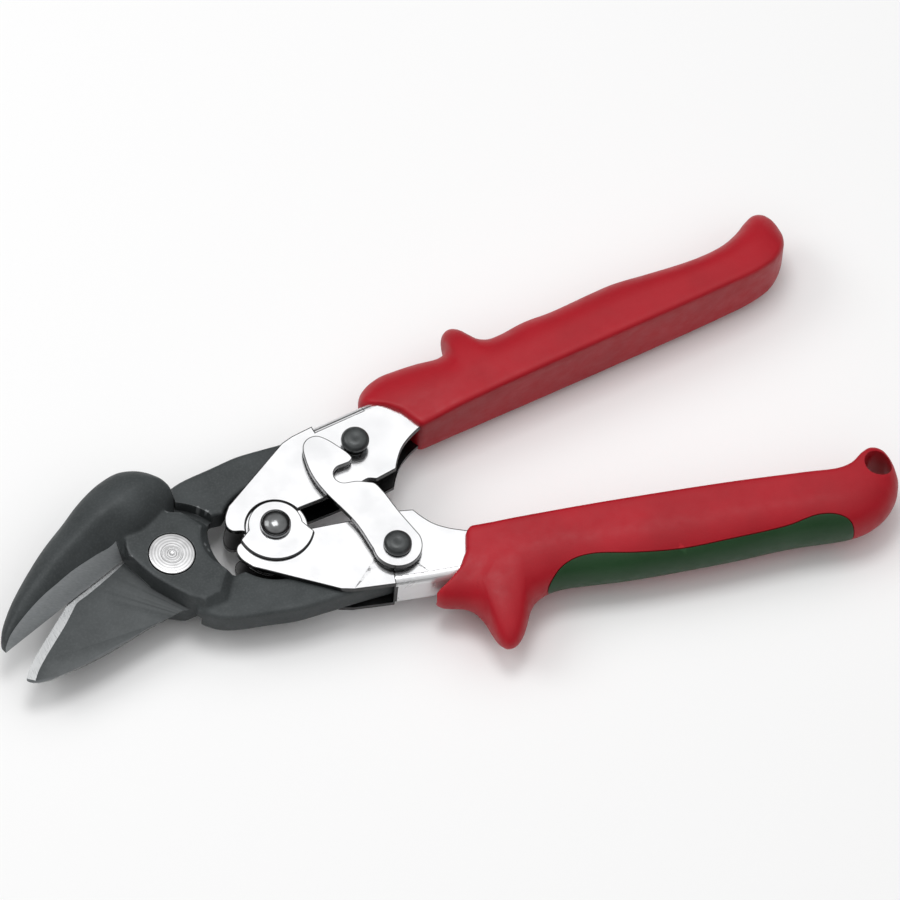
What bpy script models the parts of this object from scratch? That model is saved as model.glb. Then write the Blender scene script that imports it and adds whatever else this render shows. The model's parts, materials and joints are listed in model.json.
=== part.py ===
"""Aviation snips with a compound linkage, a nose-shaped upper jaw and a locking latch.

The tool lies flat. +X runs from the main pivot towards the handles, +Z is the pivot axis, and the origin is
the centre of the pivot bolt's far end, which is the face that the tool rests on. Heights in this file are
measured from the shear plane, where the two blades meet, and place() lifts them into the frame.
"""

import math

import bmesh
import bpy
from mathutils import Matrix, Vector

MM = 0.001

# ---------------------------------------------------------------- driving dimensions, in millimetres
# Linkage: main pivot O, handle pivot P, and the two link rivets A (upper) and B (lower).
PIVOT_SPACING = 30.9          # O to P, jaws open
LINK_REACH = 30.0             # P to the line through A and B
LINK_SPREAD = 17.6            # A and B off the tool's centre line
HANDLE_TILT = 8.5             # each handle's angle to the centre line, degrees

# Heights above and below the shear plane.
PLATE_TOP = 7.5               # forged boss round the main pivot
SHEAR_GAP = 0.15              # each blade's face to the shear plane
CHANNEL_HALF = 6.0            # outer half width of the handle channels
SHEET = 1.5                   # channel sheet thickness
GRIP_HALF = 9.8               # half thickness of the grips
LATCH_THICK = 1.5
CLEAR = 0.3                   # gap between pieces that touch

# Jaws.
JAW_LENGTH = 53.4             # main pivot to the nose's tip, along the cutting edge
EDGE_OFFSET = 10.5            # cutting edge to the main pivot
EDGE_ANGLE = 23.5             # nose's cutting edge to the centre line, degrees
JAW_HEIGHT = 14.6             # crown of the nose above the shear plane
BLADE_DEPTH = 7.5             # keel of the lower blade below the shear plane
FORGED_EDGE = 1.2             # chamfer on the forgings' edges
BOSS_RADIUS = 18.3            # lapped bosses round the main pivot
POCKET_RADIUS = 19.0          # boss edge to the handle pivot
TANG_POCKET = 15.5            # inner edge of the tangs to the handle pivot
TANG_POCKET_END = -73.5       # where that edge leaves the arc, degrees
TANG_EYE = 8.2                # radius of the tangs' eyes
TANG_EYE_START = 78.0

# Fasteners.
BOLT_HEAD_RADIUS = 6.5
BOLT_HEAD_THICK = 2.2
BOLT_SHANK_RADIUS = 4.0
NUT_RADIUS = 7.4
NUT_THICK = 3.0
WASHER_THICK = 0.5
LINK_SHANK_RADIUS = 2.5
LINK_HEAD_RADIUS = 4.0
LINK_HEAD_HEIGHT = 2.2
CENTRE_SHANK_RADIUS = 3.0
CENTRE_HEAD_RADIUS = 4.4
CENTRE_HEAD_HEIGHT = 2.9
SLEEVE_WALL = 0.9
SPRING_WIRE = 1.3
SPRING_TURNS = 3              # full turns, beside the part turn that sets the legs
SPRING_SPLAY = 25.0           # each leg to the centre line, degrees

# Ears, seen along the pivot axis.
EAR_INNER_RADIUS = 9.3        # joggle of the upper handle's ears
EAR_LAP = 0.8                 # width of the joggle's step

# Handles, along each handle's own line from the handle pivot.
UPPER_WEB_START = 24.0        # each channel is open towards the jaws before this
LOWER_WEB_START = 29.5
WEB_OUTER = 24.0              # outer face of the web, off the handle's own line
FOLD_RADIUS = 2.6             # outer radius of the folds between cheeks and web
GRIP_START = 41.0
GRIP_END = 174.9              # upper grip
LOWER_GRIP_EXTRA = 1.9        # how much farther the lower grip reaches
END_WALL = 11.9               # solid grip past the end of the channel
GRIP_BEVEL = 2.6
HANG_HOLE_RADIUS = 3.7
HANG_HOLE_INSET = 5.4         # hanging hole to the lower grip's end
HANG_HOLE_OUT = 9.6
INLAY_GAP = 0.3
LATCH_END_RADIUS = 7.0

# ---------------------------------------------------------------- places worked out from them
PIVOT_O = (0.0, 0.0)
PIVOT_P = (PIVOT_SPACING, 0.0)
CHANNEL_END = GRIP_END - END_WALL
LOWER_GRIP_END = GRIP_END + LOWER_GRIP_EXTRA
HANG_HOLE_AT = (LOWER_GRIP_END - HANG_HOLE_INSET, HANG_HOLE_OUT)
LINK_X = PIVOT_SPACING + LINK_REACH
RIVET_A = (LINK_X, LINK_SPREAD)
RIVET_B = (LINK_X, -LINK_SPREAD)
CHANNEL_INNER = CHANNEL_HALF - SHEET
TANG_HALF = CHANNEL_INNER - CLEAR     # the forged tangs fit between the channels' cheeks
EAR_STEP = (SHEET + CLEAR) / 2        # joggle that lets the two handles' ears lap
EAR_OUTER_RADIUS = EAR_INNER_RADIUS + 2 * EAR_LAP     # joggle of the lower handle's ears
EAR_FREE_RADIUS = EAR_INNER_RADIUS - 2 * EAR_LAP      # free edge of the lower handle's ears
LATCH_BOTTOM = CHANNEL_HALF + EAR_STEP + CLEAR
LATCH_TOP = LATCH_BOTTOM + LATCH_THICK
HEAD_SEAT = LATCH_TOP + CLEAR
NUT_TOP = PLATE_TOP + CLEAR + WASHER_THICK + CLEAR
BOLT_END = NUT_TOP + NUT_THICK + CLEAR
SHEAR_Z = BOLT_END            # the bolt's end face lies at z = 0

STEEL_BLACK = ((0.045, 0.05, 0.052, 1.0), 0.55, 0.85)
STEEL_BRIGHT = ((0.80, 0.80, 0.80, 1.0), 0.18, 1.0)
STEEL_TURNED = ((0.62, 0.60, 0.58, 1.0), 0.35, 1.0)
STEEL_SPRING = ((0.35, 0.35, 0.36, 1.0), 0.35, 1.0)
PLASTIC_RED = ((0.52, 0.012, 0.03, 1.0), 0.5, 0.0)
PLASTIC_GREEN = ((0.02, 0.12, 0.05, 1.0), 0.55, 0.0)


# ---------------------------------------------------------------- scene and helpers
def clear_scene():
    for obj in list(bpy.data.objects):
        bpy.data.objects.remove(obj, do_unlink=True)


def new_collection(name):
    collection = bpy.data.collections.new(name)
    bpy.context.scene.collection.children.link(collection)
    return collection


clear_scene()
PARTS = new_collection("aviation_snips")
CUTTERS = new_collection("cutters")


def add_object(name, mesh, collection=PARTS):
    obj = bpy.data.objects.new(name, mesh)
    collection.objects.link(obj)
    return obj


def finish_material(obj, finish):
    colour, roughness, metallic = finish
    material = bpy.data.materials.new(obj.name + "_finish")
    material.use_nodes = True
    shader = material.node_tree.nodes["Principled BSDF"]
    shader.inputs["Base Color"].default_value = colour
    shader.inputs["Roughness"].default_value = roughness
    shader.inputs["Metallic"].default_value = metallic
    obj.data.materials.append(material)


def smooth(mesh, angle=35.0):
    mesh.shade_smooth()
    mesh.set_sharp_from_angle(angle=math.radians(angle))


def place(obj):
    """Lifts a piece from the shear plane into the frame."""
    obj.data.transform(Matrix.Translation((0, 0, SHEAR_Z * MM)))


def arc(centre, radius, start, end, steps):
    """Points on an arc, angles in degrees, both ends included."""
    points = []
    for i in range(steps + 1):
        a = math.radians(start + (end - start) * i / steps)
        points.append((centre[0] + radius * math.cos(a), centre[1] + radius * math.sin(a)))
    return points


def shift(points, centre):
    return [(x + centre[0], y + centre[1]) for x, y in points]


def mirror_y(points):
    return [(x, -y) for x, y in points]


def prism(name, points, low, high, collection=PARTS):
    """A flat outline in the XY plane, as thick as low to high."""
    curve = bpy.data.curves.new(name, "CURVE")
    curve.dimensions = "2D"
    curve.fill_mode = "BOTH"
    curve.extrude = (high - low) / 2 * MM
    spline = curve.splines.new("POLY")
    spline.points.add(len(points) - 1)
    for point, (x, y) in zip(spline.points, points):
        point.co = (x * MM, y * MM, 0, 1)
    spline.use_cyclic_u = True
    flat = bpy.data.objects.new(name + "_outline", curve)
    flat.location = (0, 0, (low + high) / 2 * MM)
    collection.objects.link(flat)
    bpy.context.view_layer.update()
    evaluated = flat.evaluated_get(bpy.context.evaluated_depsgraph_get())
    mesh = bpy.data.meshes.new_from_object(evaluated)
    mesh.transform(flat.matrix_world)
    bpy.data.objects.remove(flat, do_unlink=True)
    bm = bmesh.new()
    bm.from_mesh(mesh)
    bmesh.ops.remove_doubles(bm, verts=bm.verts, dist=1e-6)
    bmesh.ops.dissolve_limit(bm, angle_limit=math.radians(0.5), verts=bm.verts, edges=bm.edges)
    bmesh.ops.recalc_face_normals(bm, faces=bm.faces)
    bm.to_mesh(mesh)
    bm.free()
    return add_object(name, mesh, collection)


def turned(name, profile, centre, collection=PARTS, steps=28):
    """A profile of (radius, height) from the top of the axis down to its foot, turned about centre."""
    mesh = bpy.data.meshes.new(name)
    mesh.from_pydata([(r * MM, 0, z * MM) for r, z in profile], [(i, i + 1) for i in range(len(profile) - 1)], [])
    obj = add_object(name, mesh, collection)
    screw = obj.modifiers.new("turn", "SCREW")
    screw.axis = "Z"
    screw.steps = steps
    screw.render_steps = steps
    screw.use_merge_vertices = True
    screw.merge_threshold = 1e-6
    bake(obj)
    obj.data.transform(Matrix.Translation((centre[0] * MM, centre[1] * MM, 0)))
    return obj


def bake(obj):
    """Puts the modifiers' result into the object's mesh."""
    bpy.context.view_layer.update()
    evaluated = obj.evaluated_get(bpy.context.evaluated_depsgraph_get())
    mesh = bpy.data.meshes.new_from_object(evaluated)
    obj.modifiers.clear()
    obj.data = mesh


def combine(obj, others, operation):
    """Joins others to obj or cuts them from it, then drops them into the cutters' collection."""
    for other in others:
        boolean = obj.modifiers.new(operation.lower(), "BOOLEAN")
        boolean.operation = operation
        boolean.solver = "EXACT"
        boolean.object = other
    bake(obj)
    for other in others:
        for collection in list(other.users_collection):
            collection.objects.unlink(other)
        CUTTERS.objects.link(other)
        other.hide_render = True
        other.display_type = "WIRE"
    return obj


def cut(obj, *cutters):
    return combine(obj, cutters, "DIFFERENCE")


def join(obj, *others):
    return combine(obj, others, "UNION")


def round_edges(obj, test, width, segments=3):
    """Bevels the edges whose two ends both pass the test."""
    bm = bmesh.new()
    bm.from_mesh(obj.data)
    edges = [e for e in bm.edges if test(e.verts[0].co / MM) and test(e.verts[1].co / MM)]
    bmesh.ops.bevel(bm, geom=edges, offset=width * MM, segments=segments, profile=0.5, affect="EDGES",
                    clamp_overlap=True)
    bm.to_mesh(obj.data)
    bm.free()


def bore(name, centre, radius, low, high, steps=28):
    return turned(name, [(0, high), (radius, high), (radius, low), (0, low)], centre, CUTTERS, steps)


def loft(name, rings, collection=PARTS):
    """A closed skin over rings that have the same number of points each."""
    bm = bmesh.new()
    rows = [[bm.verts.new(Vector(p) * MM) for p in ring] for ring in rings]
    count = len(rings[0])
    for row, following in zip(rows, rows[1:]):
        for i in range(count):
            bm.faces.new((row[i], row[(i + 1) % count], following[(i + 1) % count], following[i]))
    bm.faces.new(rows[0])
    bm.faces.new(rows[-1])
    bmesh.ops.recalc_face_normals(bm, faces=bm.faces)
    mesh = bpy.data.meshes.new(name)
    bm.to_mesh(mesh)
    bm.free()
    return add_object(name, mesh, collection)


def handle_frame(side):
    """Maps (along, outward) of a handle to the XY plane. side is +1 for the upper and -1 for the lower."""
    tilt = math.radians(HANDLE_TILT)

    def to_plane(points):
        out = []
        for s, t in points:
            x = PIVOT_P[0] + s * math.cos(tilt) - t * math.sin(tilt)
            y = s * math.sin(tilt) + t * math.cos(tilt)
            out.append((x, side * y))
        return out

    return to_plane


# ---------------------------------------------------------------- forged blades
def tang_inner():
    """The straight inner edge of the lower tang, from the pocket round P to the eye round B."""
    pocket_end = arc(PIVOT_P, TANG_POCKET, TANG_POCKET_END, TANG_POCKET_END, 1)[0]
    eye_start = arc(RIVET_B, TANG_EYE, TANG_EYE_START, TANG_EYE_START, 1)[0]
    return Vector(pocket_end), Vector(eye_start)


def web_corner_room():
    """Where a tang's outer side clears the start of the handle's web."""
    tilt = math.radians(HANDLE_TILT)
    along, out = UPPER_WEB_START - CLEAR, WEB_OUTER - SHEET - CLEAR
    return (PIVOT_P[0] + along * math.cos(tilt) - out * math.sin(tilt),
            -(along * math.sin(tilt) + out * math.cos(tilt)))


def tang_outline():
    """The lower side's tang: bowed round the handle pivot, from the boss to the link rivet."""
    eye = TANG_EYE
    px = PIVOT_P[0]
    inner = arc(PIVOT_P, TANG_POCKET, TANG_POCKET_END - 68, TANG_POCKET_END, 7)
    corner_x, corner_y = web_corner_room()
    outer = [(LINK_X - 6.0, corner_y), (corner_x - 0.5, corner_y), (px + 14.0, -LINK_SPREAD - eye), (px + 5.0, -26.0),
             (px - 2.0, -26.0), (px - 10.0, -24.8), (9.5, -22.8), (5.0, -20.5), (1.6, -16.6), (4.0, -12.5),
             (10.5, -10.4)]
    tip = arc(RIVET_B, eye, TANG_EYE_START, -90, 9)
    return inner + tip + outer


def boss_outline():
    """The upper blade's boss round the main pivot, inside the pocket for the handles' ears."""
    pocket = arc(PIVOT_P, POCKET_RADIUS, 214, 157, 5)
    left = [(7.6, 13.4), (-0.5, 14.5), (-11.0, 9.0), (-11.6, 3.4), (-7.4, -4.9), (-2.8, -10.7), (0.0, -14.0),
            (4.4, -18.4), (10.6, -18.0)]
    return left + pocket


def edge_frame(u, v, z):
    """A point u along the nose's cutting edge towards the tip and v outward from the main pivot."""
    a = math.radians(EDGE_ANGLE)
    return (-u * math.cos(a) - v * math.sin(a), -u * math.sin(a) + v * math.cos(a), z)


def shear_room(name, side, low, high):
    """Everything on the other blade's side of the shear plane, but the tang outside the lapped bosses."""
    heel, tail, far = 2.0, 7.4, 80.0
    lap = BOSS_RADIUS + CLEAR
    start = math.degrees(math.asin(heel / lap)) - 90.0
    if side > 0:
        outline = [(-far, -far), (heel, -far)] + arc(PIVOT_O, lap, start, 48, 16) + [(12.5, far), (-far, far)]
    else:
        end = math.degrees(math.acos(tail / lap))
        outline = ([(-far, -far), (12.5, -far)] + arc(PIVOT_O, lap, -48, end, 16) + [(tail, 19.5), (9.0, 32.0),
                   (9.0, far), (-far, far)])
    return prism(name, outline, low, high, CUTTERS)


def nose_section(u, inner, ridge, top, crown, outer):
    """One section across the nose: cutting edge, ground facet, crown and rounded outer side."""
    low = SHEAR_GAP - 1.0
    (ridge_v, ridge_z), (top_v, top_z), (crown_v, crown_z), (outer_v, outer_z) = ridge, top, crown, outer
    profile = [(inner, low), (ridge_v, ridge_z), (top_v, top_z), (crown_v, crown_z),
               ((crown_v + outer_v) / 2 + 1.5 * (outer_v - crown_v) / 9, crown_z * 0.62 + outer_z * 0.38),
               (outer_v, outer_z), (outer_v, low + 2.0), (outer_v - 0.6, low)]
    return [edge_frame(u, v, z) for v, z in profile]


def nose_jaw():
    k = JAW_LENGTH / 53.4
    h = JAW_HEIGHT / 14.6
    e = EDGE_OFFSET
    w = e - 2.6
    rings = [
        nose_section(JAW_LENGTH, e, (e + 0.5, 1.2), (e + 0.9, 1.6), (e + 1.4, 1.8), (e + 2.2, 1.4)),
        nose_section(50.5 * k, e, (e + 1.1, 3.4 * h), (e + 2.0, 4.4 * h), (e + 2.8, 4.8 * h), (e + 5.0, 2.6)),
        nose_section(44.0 * k, e, (e + 1.9, 5.6 * h), (e + 3.4, 7.2 * h), (e + 5.0, 7.9 * h), (e + 8.6, 4.4)),
        nose_section(35.0 * k, e, (e + 2.9, 7.3 * h), (e + 4.8, 9.8 * h), (e + 6.9, 10.8 * h), (e + 12.0, 6.0)),
        nose_section(26.0 * k, e, (e + 3.4, 8.4 * h), (e + 5.6, 11.4 * h), (e + 8.2, 12.6 * h), (e + 14.7, 7.2)),
        nose_section(17.0 * k, e, (e + 3.5, 8.7 * h), (e + 5.8, 12.4 * h), (e + 9.0, 13.8 * h), (e + 16.6, 8.0)),
        nose_section(8.8, e, (e + 2.9, 8.6 * h), (e + 5.4, 12.8 * h), (e + 9.6, 14.4 * h), (e + 18.6, 8.4)),
        nose_section(7.8, w, (e + 1.4, 9.2 * h), (e + 4.6, 12.8 * h), (e + 9.6, 14.5 * h), (e + 18.8, 8.5)),
        nose_section(0.5, w, (e + 1.8, 9.6 * h), (e + 5.0, 13.0 * h), (e + 10.0, JAW_HEIGHT), (e + 19.5, 8.6)),
        nose_section(-5.8, w, (e + 2.2, 9.4 * h), (e + 5.4, 12.6 * h), (e + 9.8, 14.2 * h), (e + 18.6, 8.4)),
        nose_section(-10.2, w + 0.6, (e + 2.6, 8.8 * h), (e + 5.2, 11.6 * h), (e + 9.0, 13.0 * h), (e + 15.6, 7.8)),
        nose_section(-12.9, w + 3.4, (e + 3.2, 8.0 * h), (e + 4.8, 10.2 * h), (e + 7.2, 11.2 * h), (e + 11.6, 6.8)),
        nose_section(-13.9, w + 5.2, (e + 4.0, 6.6 * h), (e + 4.8, 8.4 * h), (e + 6.2, 8.9 * h), (e + 8.6, 5.6)),
    ]
    return loft("nose_jaw", rings)


def nose_blade():
    """Upper blade: the raised nose jaw, the boss above the shear plane and the tang to rivet B."""
    blade = nose_jaw()
    blade.name = "nose_blade"
    boss = prism("nose_boss", boss_outline(), SHEAR_GAP - 1.0, PLATE_TOP)
    round_edges(boss, lambda p: p.z > PLATE_TOP - 0.01, FORGED_EDGE, 2)
    tang = prism("nose_tang", tang_outline(), -TANG_HALF, TANG_HALF)
    round_edges(tang, lambda p: abs(p.z) > TANG_HALF - 0.01, FORGED_EDGE, 2)
    join(blade, boss, tang)
    cut(blade, shear_room("nose_shear_room", 1, -TANG_HALF - 5, SHEAR_GAP))
    counterbore = bore("nose_counterbore", PIVOT_O, BOLT_HEAD_RADIUS + CLEAR, PLATE_TOP - BOLT_HEAD_THICK,
                       JAW_HEIGHT + 5)
    shank = bore("nose_shank_bore", PIVOT_O, BOLT_SHANK_RADIUS + CLEAR, -1, PLATE_TOP)
    eye = bore("nose_eye", RIVET_B, LINK_SHANK_RADIUS + CLEAR, -TANG_HALF - 1, TANG_HALF + 1, 24)
    cut(blade, counterbore, shank, eye)
    return blade


def lower_section(x, edge_y, rim_y, depth):
    """One section across the lower blade: ground face under the edge, keel and rim."""
    top = -SHEAR_GAP + 1.0
    depth = depth + 1.0
    width = edge_y - rim_y
    profile = [(edge_y, top), (edge_y - 0.04 * width, top - 0.55 * depth), (edge_y - 0.22 * width, top - depth),
               (edge_y - 0.42 * width, top - depth), (rim_y + 0.12 * width, top - 0.35 * depth),
               (rim_y, top - min(2.1, 0.8 * depth)), (rim_y, top)]
    return [(x, y, z) for y, z in profile]


def lower_jaw():
    k = JAW_LENGTH / 53.4
    d = BLADE_DEPTH - SHEAR_GAP
    e = EDGE_OFFSET - 10.5
    rings = [lower_section(-50.4 * k, -20.9, -22.2, 0.16 * d), lower_section(-48.6 * k, -18.3, -23.2, 0.30 * d),
             lower_section(-45.0 * k, -14.5, -23.7, 0.48 * d), lower_section(-39.4 * k, -9.3, -23.1, 0.70 * d),
             lower_section(-33.4 * k, -3.8 + e, -22.2, 0.86 * d), lower_section(-30.0 * k, -0.9 + e, -21.6, 0.92 * d),
             lower_section(-26.0 * k, 0.5 + e, -20.7, 0.97 * d), lower_section(-19.6 * k, 2.9 + e, -18.9, d),
             lower_section(-13.0, 5.7 + e, -16.9, d), lower_section(-6.0, 8.6 + e, -15.2, d),
             lower_section(1.0, 10.0, -13.6, d)]
    return loft("lower_jaw", rings)


def lower_blade():
    """Lower blade: the flat-topped jaw, the boss below the shear plane and the tang to rivet A."""
    blade = lower_jaw()
    blade.name = "lower_blade"
    outline = mirror_y(boss_outline())
    boss = prism("lower_boss", outline, -PLATE_TOP, -SHEAR_GAP + 1.0)
    round_edges(boss, lambda p: p.z < -PLATE_TOP + 0.01, FORGED_EDGE, 2)
    tang = prism("lower_tang", mirror_y(tang_outline()), -TANG_HALF, TANG_HALF)
    round_edges(tang, lambda p: abs(p.z) > TANG_HALF - 0.01, FORGED_EDGE, 2)
    join(blade, boss, tang)
    cut(blade, shear_room("lower_shear_room", -1, -SHEAR_GAP, TANG_HALF + 5))
    shank = bore("lower_shank_bore", PIVOT_O, BOLT_SHANK_RADIUS + CLEAR, -PLATE_TOP - 2, 1)
    eye = bore("lower_eye", RIVET_A, LINK_SHANK_RADIUS + CLEAR, -TANG_HALF - 1, TANG_HALF + 1, 24)
    cut(blade, shank, eye)
    return blade


# ---------------------------------------------------------------- pivot hardware
def pivot_bolt():
    """Main pivot: a flat turned head let into the nose blade, and a shank down to the rest face."""
    top = PLATE_TOP + CLEAR
    seat = top - BOLT_HEAD_THICK
    return turned("pivot_bolt", [(0, top), (BOLT_HEAD_RADIUS - 0.3, top), (BOLT_HEAD_RADIUS, top - 0.3),
                                 (BOLT_HEAD_RADIUS, seat), (BOLT_SHANK_RADIUS, seat),
                                 (BOLT_SHANK_RADIUS, -BOLT_END + 0.4), (BOLT_SHANK_RADIUS - 0.4, -BOLT_END),
                                 (0, -BOLT_END)], PIVOT_O, steps=48)


def pivot_washer():
    top = -PLATE_TOP - CLEAR
    ring = turned("pivot_washer", [(0, top), (NUT_RADIUS, top), (NUT_RADIUS, top - WASHER_THICK),
                                   (0, top - WASHER_THICK)], PIVOT_O, steps=40)
    hole = bore("washer_bore", PIVOT_O, BOLT_SHANK_RADIUS + CLEAR, top - WASHER_THICK - 1, top + 1)
    return cut(ring, hole)


def pivot_nut():
    low = -NUT_TOP - NUT_THICK
    nut = turned("pivot_nut", [(0, -NUT_TOP), (NUT_RADIUS, -NUT_TOP), (NUT_RADIUS, low + 0.8),
                               (NUT_RADIUS - 1.0, low), (0, low)], PIVOT_O, steps=6)
    hole = bore("nut_bore", PIVOT_O, BOLT_SHANK_RADIUS + CLEAR, low - 1, -NUT_TOP + 1)
    return cut(nut, hole)


def dome(radius, height, flat, seat, up=1.0, steps=4):
    """Half profile of a rivet head, from the flat on its crown down to its seat."""
    points = [(0, seat + up * height)]
    for i in range(steps + 1):
        a = math.radians(90 * i / steps)
        points.append((flat + (radius - flat) * math.sin(a), seat + up * (0.45 + (height - 0.45) * math.cos(a))))
    points.append((radius, seat))
    return points


def link_rivet(name, centre):
    """Link rivet: a domed head that stands above the latch, and a low head formed on the far side."""
    far = CHANNEL_HALF + CLEAR
    near_head = dome(LINK_HEAD_RADIUS, LINK_HEAD_HEIGHT, 1.6, HEAD_SEAT)
    far_head = [(r, -z) for r, z in reversed(dome(LINK_HEAD_RADIUS, LINK_HEAD_HEIGHT, 1.6, far))]
    profile = near_head + [(LINK_SHANK_RADIUS, HEAD_SEAT), (LINK_SHANK_RADIUS, -far)] + far_head
    return turned(name, profile, centre)


def handle_pivot_rivet():
    seat = CHANNEL_HALF + EAR_STEP + CLEAR
    near_head = dome(CENTRE_HEAD_RADIUS, CENTRE_HEAD_HEIGHT, 0.4, seat, steps=5)
    far_head = [(r, -z) for r, z in reversed(dome(CENTRE_HEAD_RADIUS, CENTRE_HEAD_HEIGHT, 1.6, seat))]
    profile = near_head + [(CENTRE_SHANK_RADIUS, seat), (CENTRE_SHANK_RADIUS, -seat)] + far_head
    return turned("handle_pivot_rivet", profile, PIVOT_P)


def sleeve_half():
    return CHANNEL_INNER - EAR_STEP - CLEAR


def handle_pivot_sleeve():
    """Distance sleeve on the handle pivot, between the ears."""
    half = sleeve_half()
    inner = CENTRE_SHANK_RADIUS + CLEAR
    sleeve = turned("handle_pivot_sleeve", [(0, half), (inner + SLEEVE_WALL, half),
                                            (inner + SLEEVE_WALL, -half), (0, -half)], PIVOT_P)
    return cut(sleeve, bore("sleeve_bore", PIVOT_P, inner, -half - 1, half + 1))


def spring_leg_length(at, tangent):
    """How far a leg runs from the coil before its wire meets the tang's inner edge."""
    first, second = tang_inner()
    edge = (second - first).normalized()
    normal = Vector((-edge.y, edge.x))
    start = Vector((at.x, -abs(at.y)))
    along = Vector((tangent.x, -abs(tangent.y)))
    return (abs((start - first).dot(normal)) - SPRING_WIRE / 2 - CLEAR) / abs(along.dot(normal))


def opening_spring():
    """Torsion spring round the sleeve, with a leg towards each tang."""
    radius = CENTRE_SHANK_RADIUS + CLEAR + SLEEVE_WALL + CLEAR + SPRING_WIRE / 2 + 0.3
    half = sleeve_half() - SPRING_WIRE / 2 - 0.2
    splay = SPRING_SPLAY
    turn_points = 20
    count = int(SPRING_TURNS * turn_points)
    start = splay + 90.0
    sweep = 360.0 * (SPRING_TURNS + 1) - 2.0 * start
    end = start + sweep
    points = []
    for i in range(count + 1):
        f = i / count
        a = math.radians(start + sweep * f)
        points.append((PIVOT_P[0] + radius * math.cos(a), PIVOT_P[1] + radius * math.sin(a), half - 2 * half * f))

    def leg(angle, at, direction):
        a = math.radians(angle)
        tangent = Vector((-math.sin(a), math.cos(a), 0)) * direction
        length = spring_leg_length(Vector(at), tangent)
        return [Vector(at) + tangent * length * f for f in (1.0, 0.5)]

    first = leg(start, points[0], -1)
    last = list(reversed(leg(end, points[-1], 1)))
    route = first + [Vector(p) for p in points] + last
    curve = bpy.data.curves.new("opening_spring", "CURVE")
    curve.dimensions = "3D"
    curve.bevel_depth = SPRING_WIRE / 2 * MM
    curve.bevel_resolution = 2
    curve.use_fill_caps = True
    spline = curve.splines.new("POLY")
    spline.points.add(len(route) - 1)
    for point, place_at in zip(spline.points, route):
        point.co = (*(place_at * MM), 1)
    wire = bpy.data.objects.new("opening_spring_wire", curve)
    PARTS.objects.link(wire)
    bpy.context.view_layer.update()
    mesh = bpy.data.meshes.new_from_object(wire.evaluated_get(bpy.context.evaluated_depsgraph_get()))
    bpy.data.objects.remove(wire, do_unlink=True)
    bm = bmesh.new()
    bm.from_mesh(mesh)
    bmesh.ops.remove_doubles(bm, verts=bm.verts, dist=1e-6)
    bm.to_mesh(mesh)
    bm.free()
    return add_object("opening_spring", mesh)


# ---------------------------------------------------------------- handles
def cheek_outline(to_plane, web_start):
    """Side of a handle channel: ear at the pivot, link lobe, neck and the shank inside the grip."""
    s_link = LINK_REACH
    front = [(-7.6, 1.9), (-9.1, 2.9), (-11.6, 4.2), (-12.3, 6.2), (-11.3, 8.9), (-8.7, 11.7)]
    w = WEB_OUTER
    outer = [(s_link - 15.6, w - 1.1), (s_link - 12.0, w - 0.4), (web_start + 1.0, w - 0.1), (s_link + 10.0, w),
             (s_link + 22.0, w - 0.4), (CHANNEL_END - 30.0, w - 3.0), (CHANNEL_END, w - 4.5)]
    inner = [(CHANNEL_END, 12.6), (s_link + 30.0, 12.6), (s_link + 22.6, 10.3), (s_link + 17.6, 8.5),
             (s_link + 13.9, 6.4), (s_link + 10.9, 3.4), (s_link + 9.2, 1.2), (s_link + 2.8, 0.7),
             (s_link + 0.6, 1.9), (s_link - 1.8, 1.7), (s_link - 12.0, 1.9), (9.2, 2.3)]
    return to_plane(front + outer + inner)


def channel_void(to_plane, web_start):
    """What the channel leaves open between its cheeks: all but the web along the outer edge."""
    s_link = LINK_REACH
    w = WEB_OUTER - SHEET
    web = [(web_start, 60.0), (web_start, w), (s_link + 10.0, w), (s_link + 22.0, w - 0.4),
           (CHANNEL_END - 30.0, w - 3.0), (CHANNEL_END + 1, w - 4.6)]
    return to_plane([(-60.0, 60.0)] + web + [(CHANNEL_END + 1, -20.0), (-60.0, -20.0)])


def fold_cutters(name, to_plane, web_start):
    """What rounds the two folds between the cheeks and the web."""
    s_link = LINK_REACH
    w = WEB_OUTER
    stations = [(web_start + 0.4, w), (s_link + 10.0, w), (s_link + 22.0, w - 0.4), (CHANNEL_END - 30.0, w - 3.0),
                (CHANNEL_END + 1.0, w - 4.55)]
    cutters = []
    for half in (1, -1):
        rings = []
        for s, edge in stations:
            fold = arc((edge - FOLD_RADIUS, CHANNEL_HALF - FOLD_RADIUS), FOLD_RADIUS + 0.02, 92, -2, 5)
            profile = [(edge - FOLD_RADIUS - 0.1, CHANNEL_HALF + 1.0)] + fold
            profile += [(edge + 1.0, CHANNEL_HALF - FOLD_RADIUS - 0.1), (edge + 1.0, CHANNEL_HALF + 1.0)]
            rings.append([(*to_plane([(s, t)])[0], half * z) for t, z in profile])
        cutters.append(loft("%s_fold_%d" % (name, half), rings, CUTTERS))
    return cutters


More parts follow.
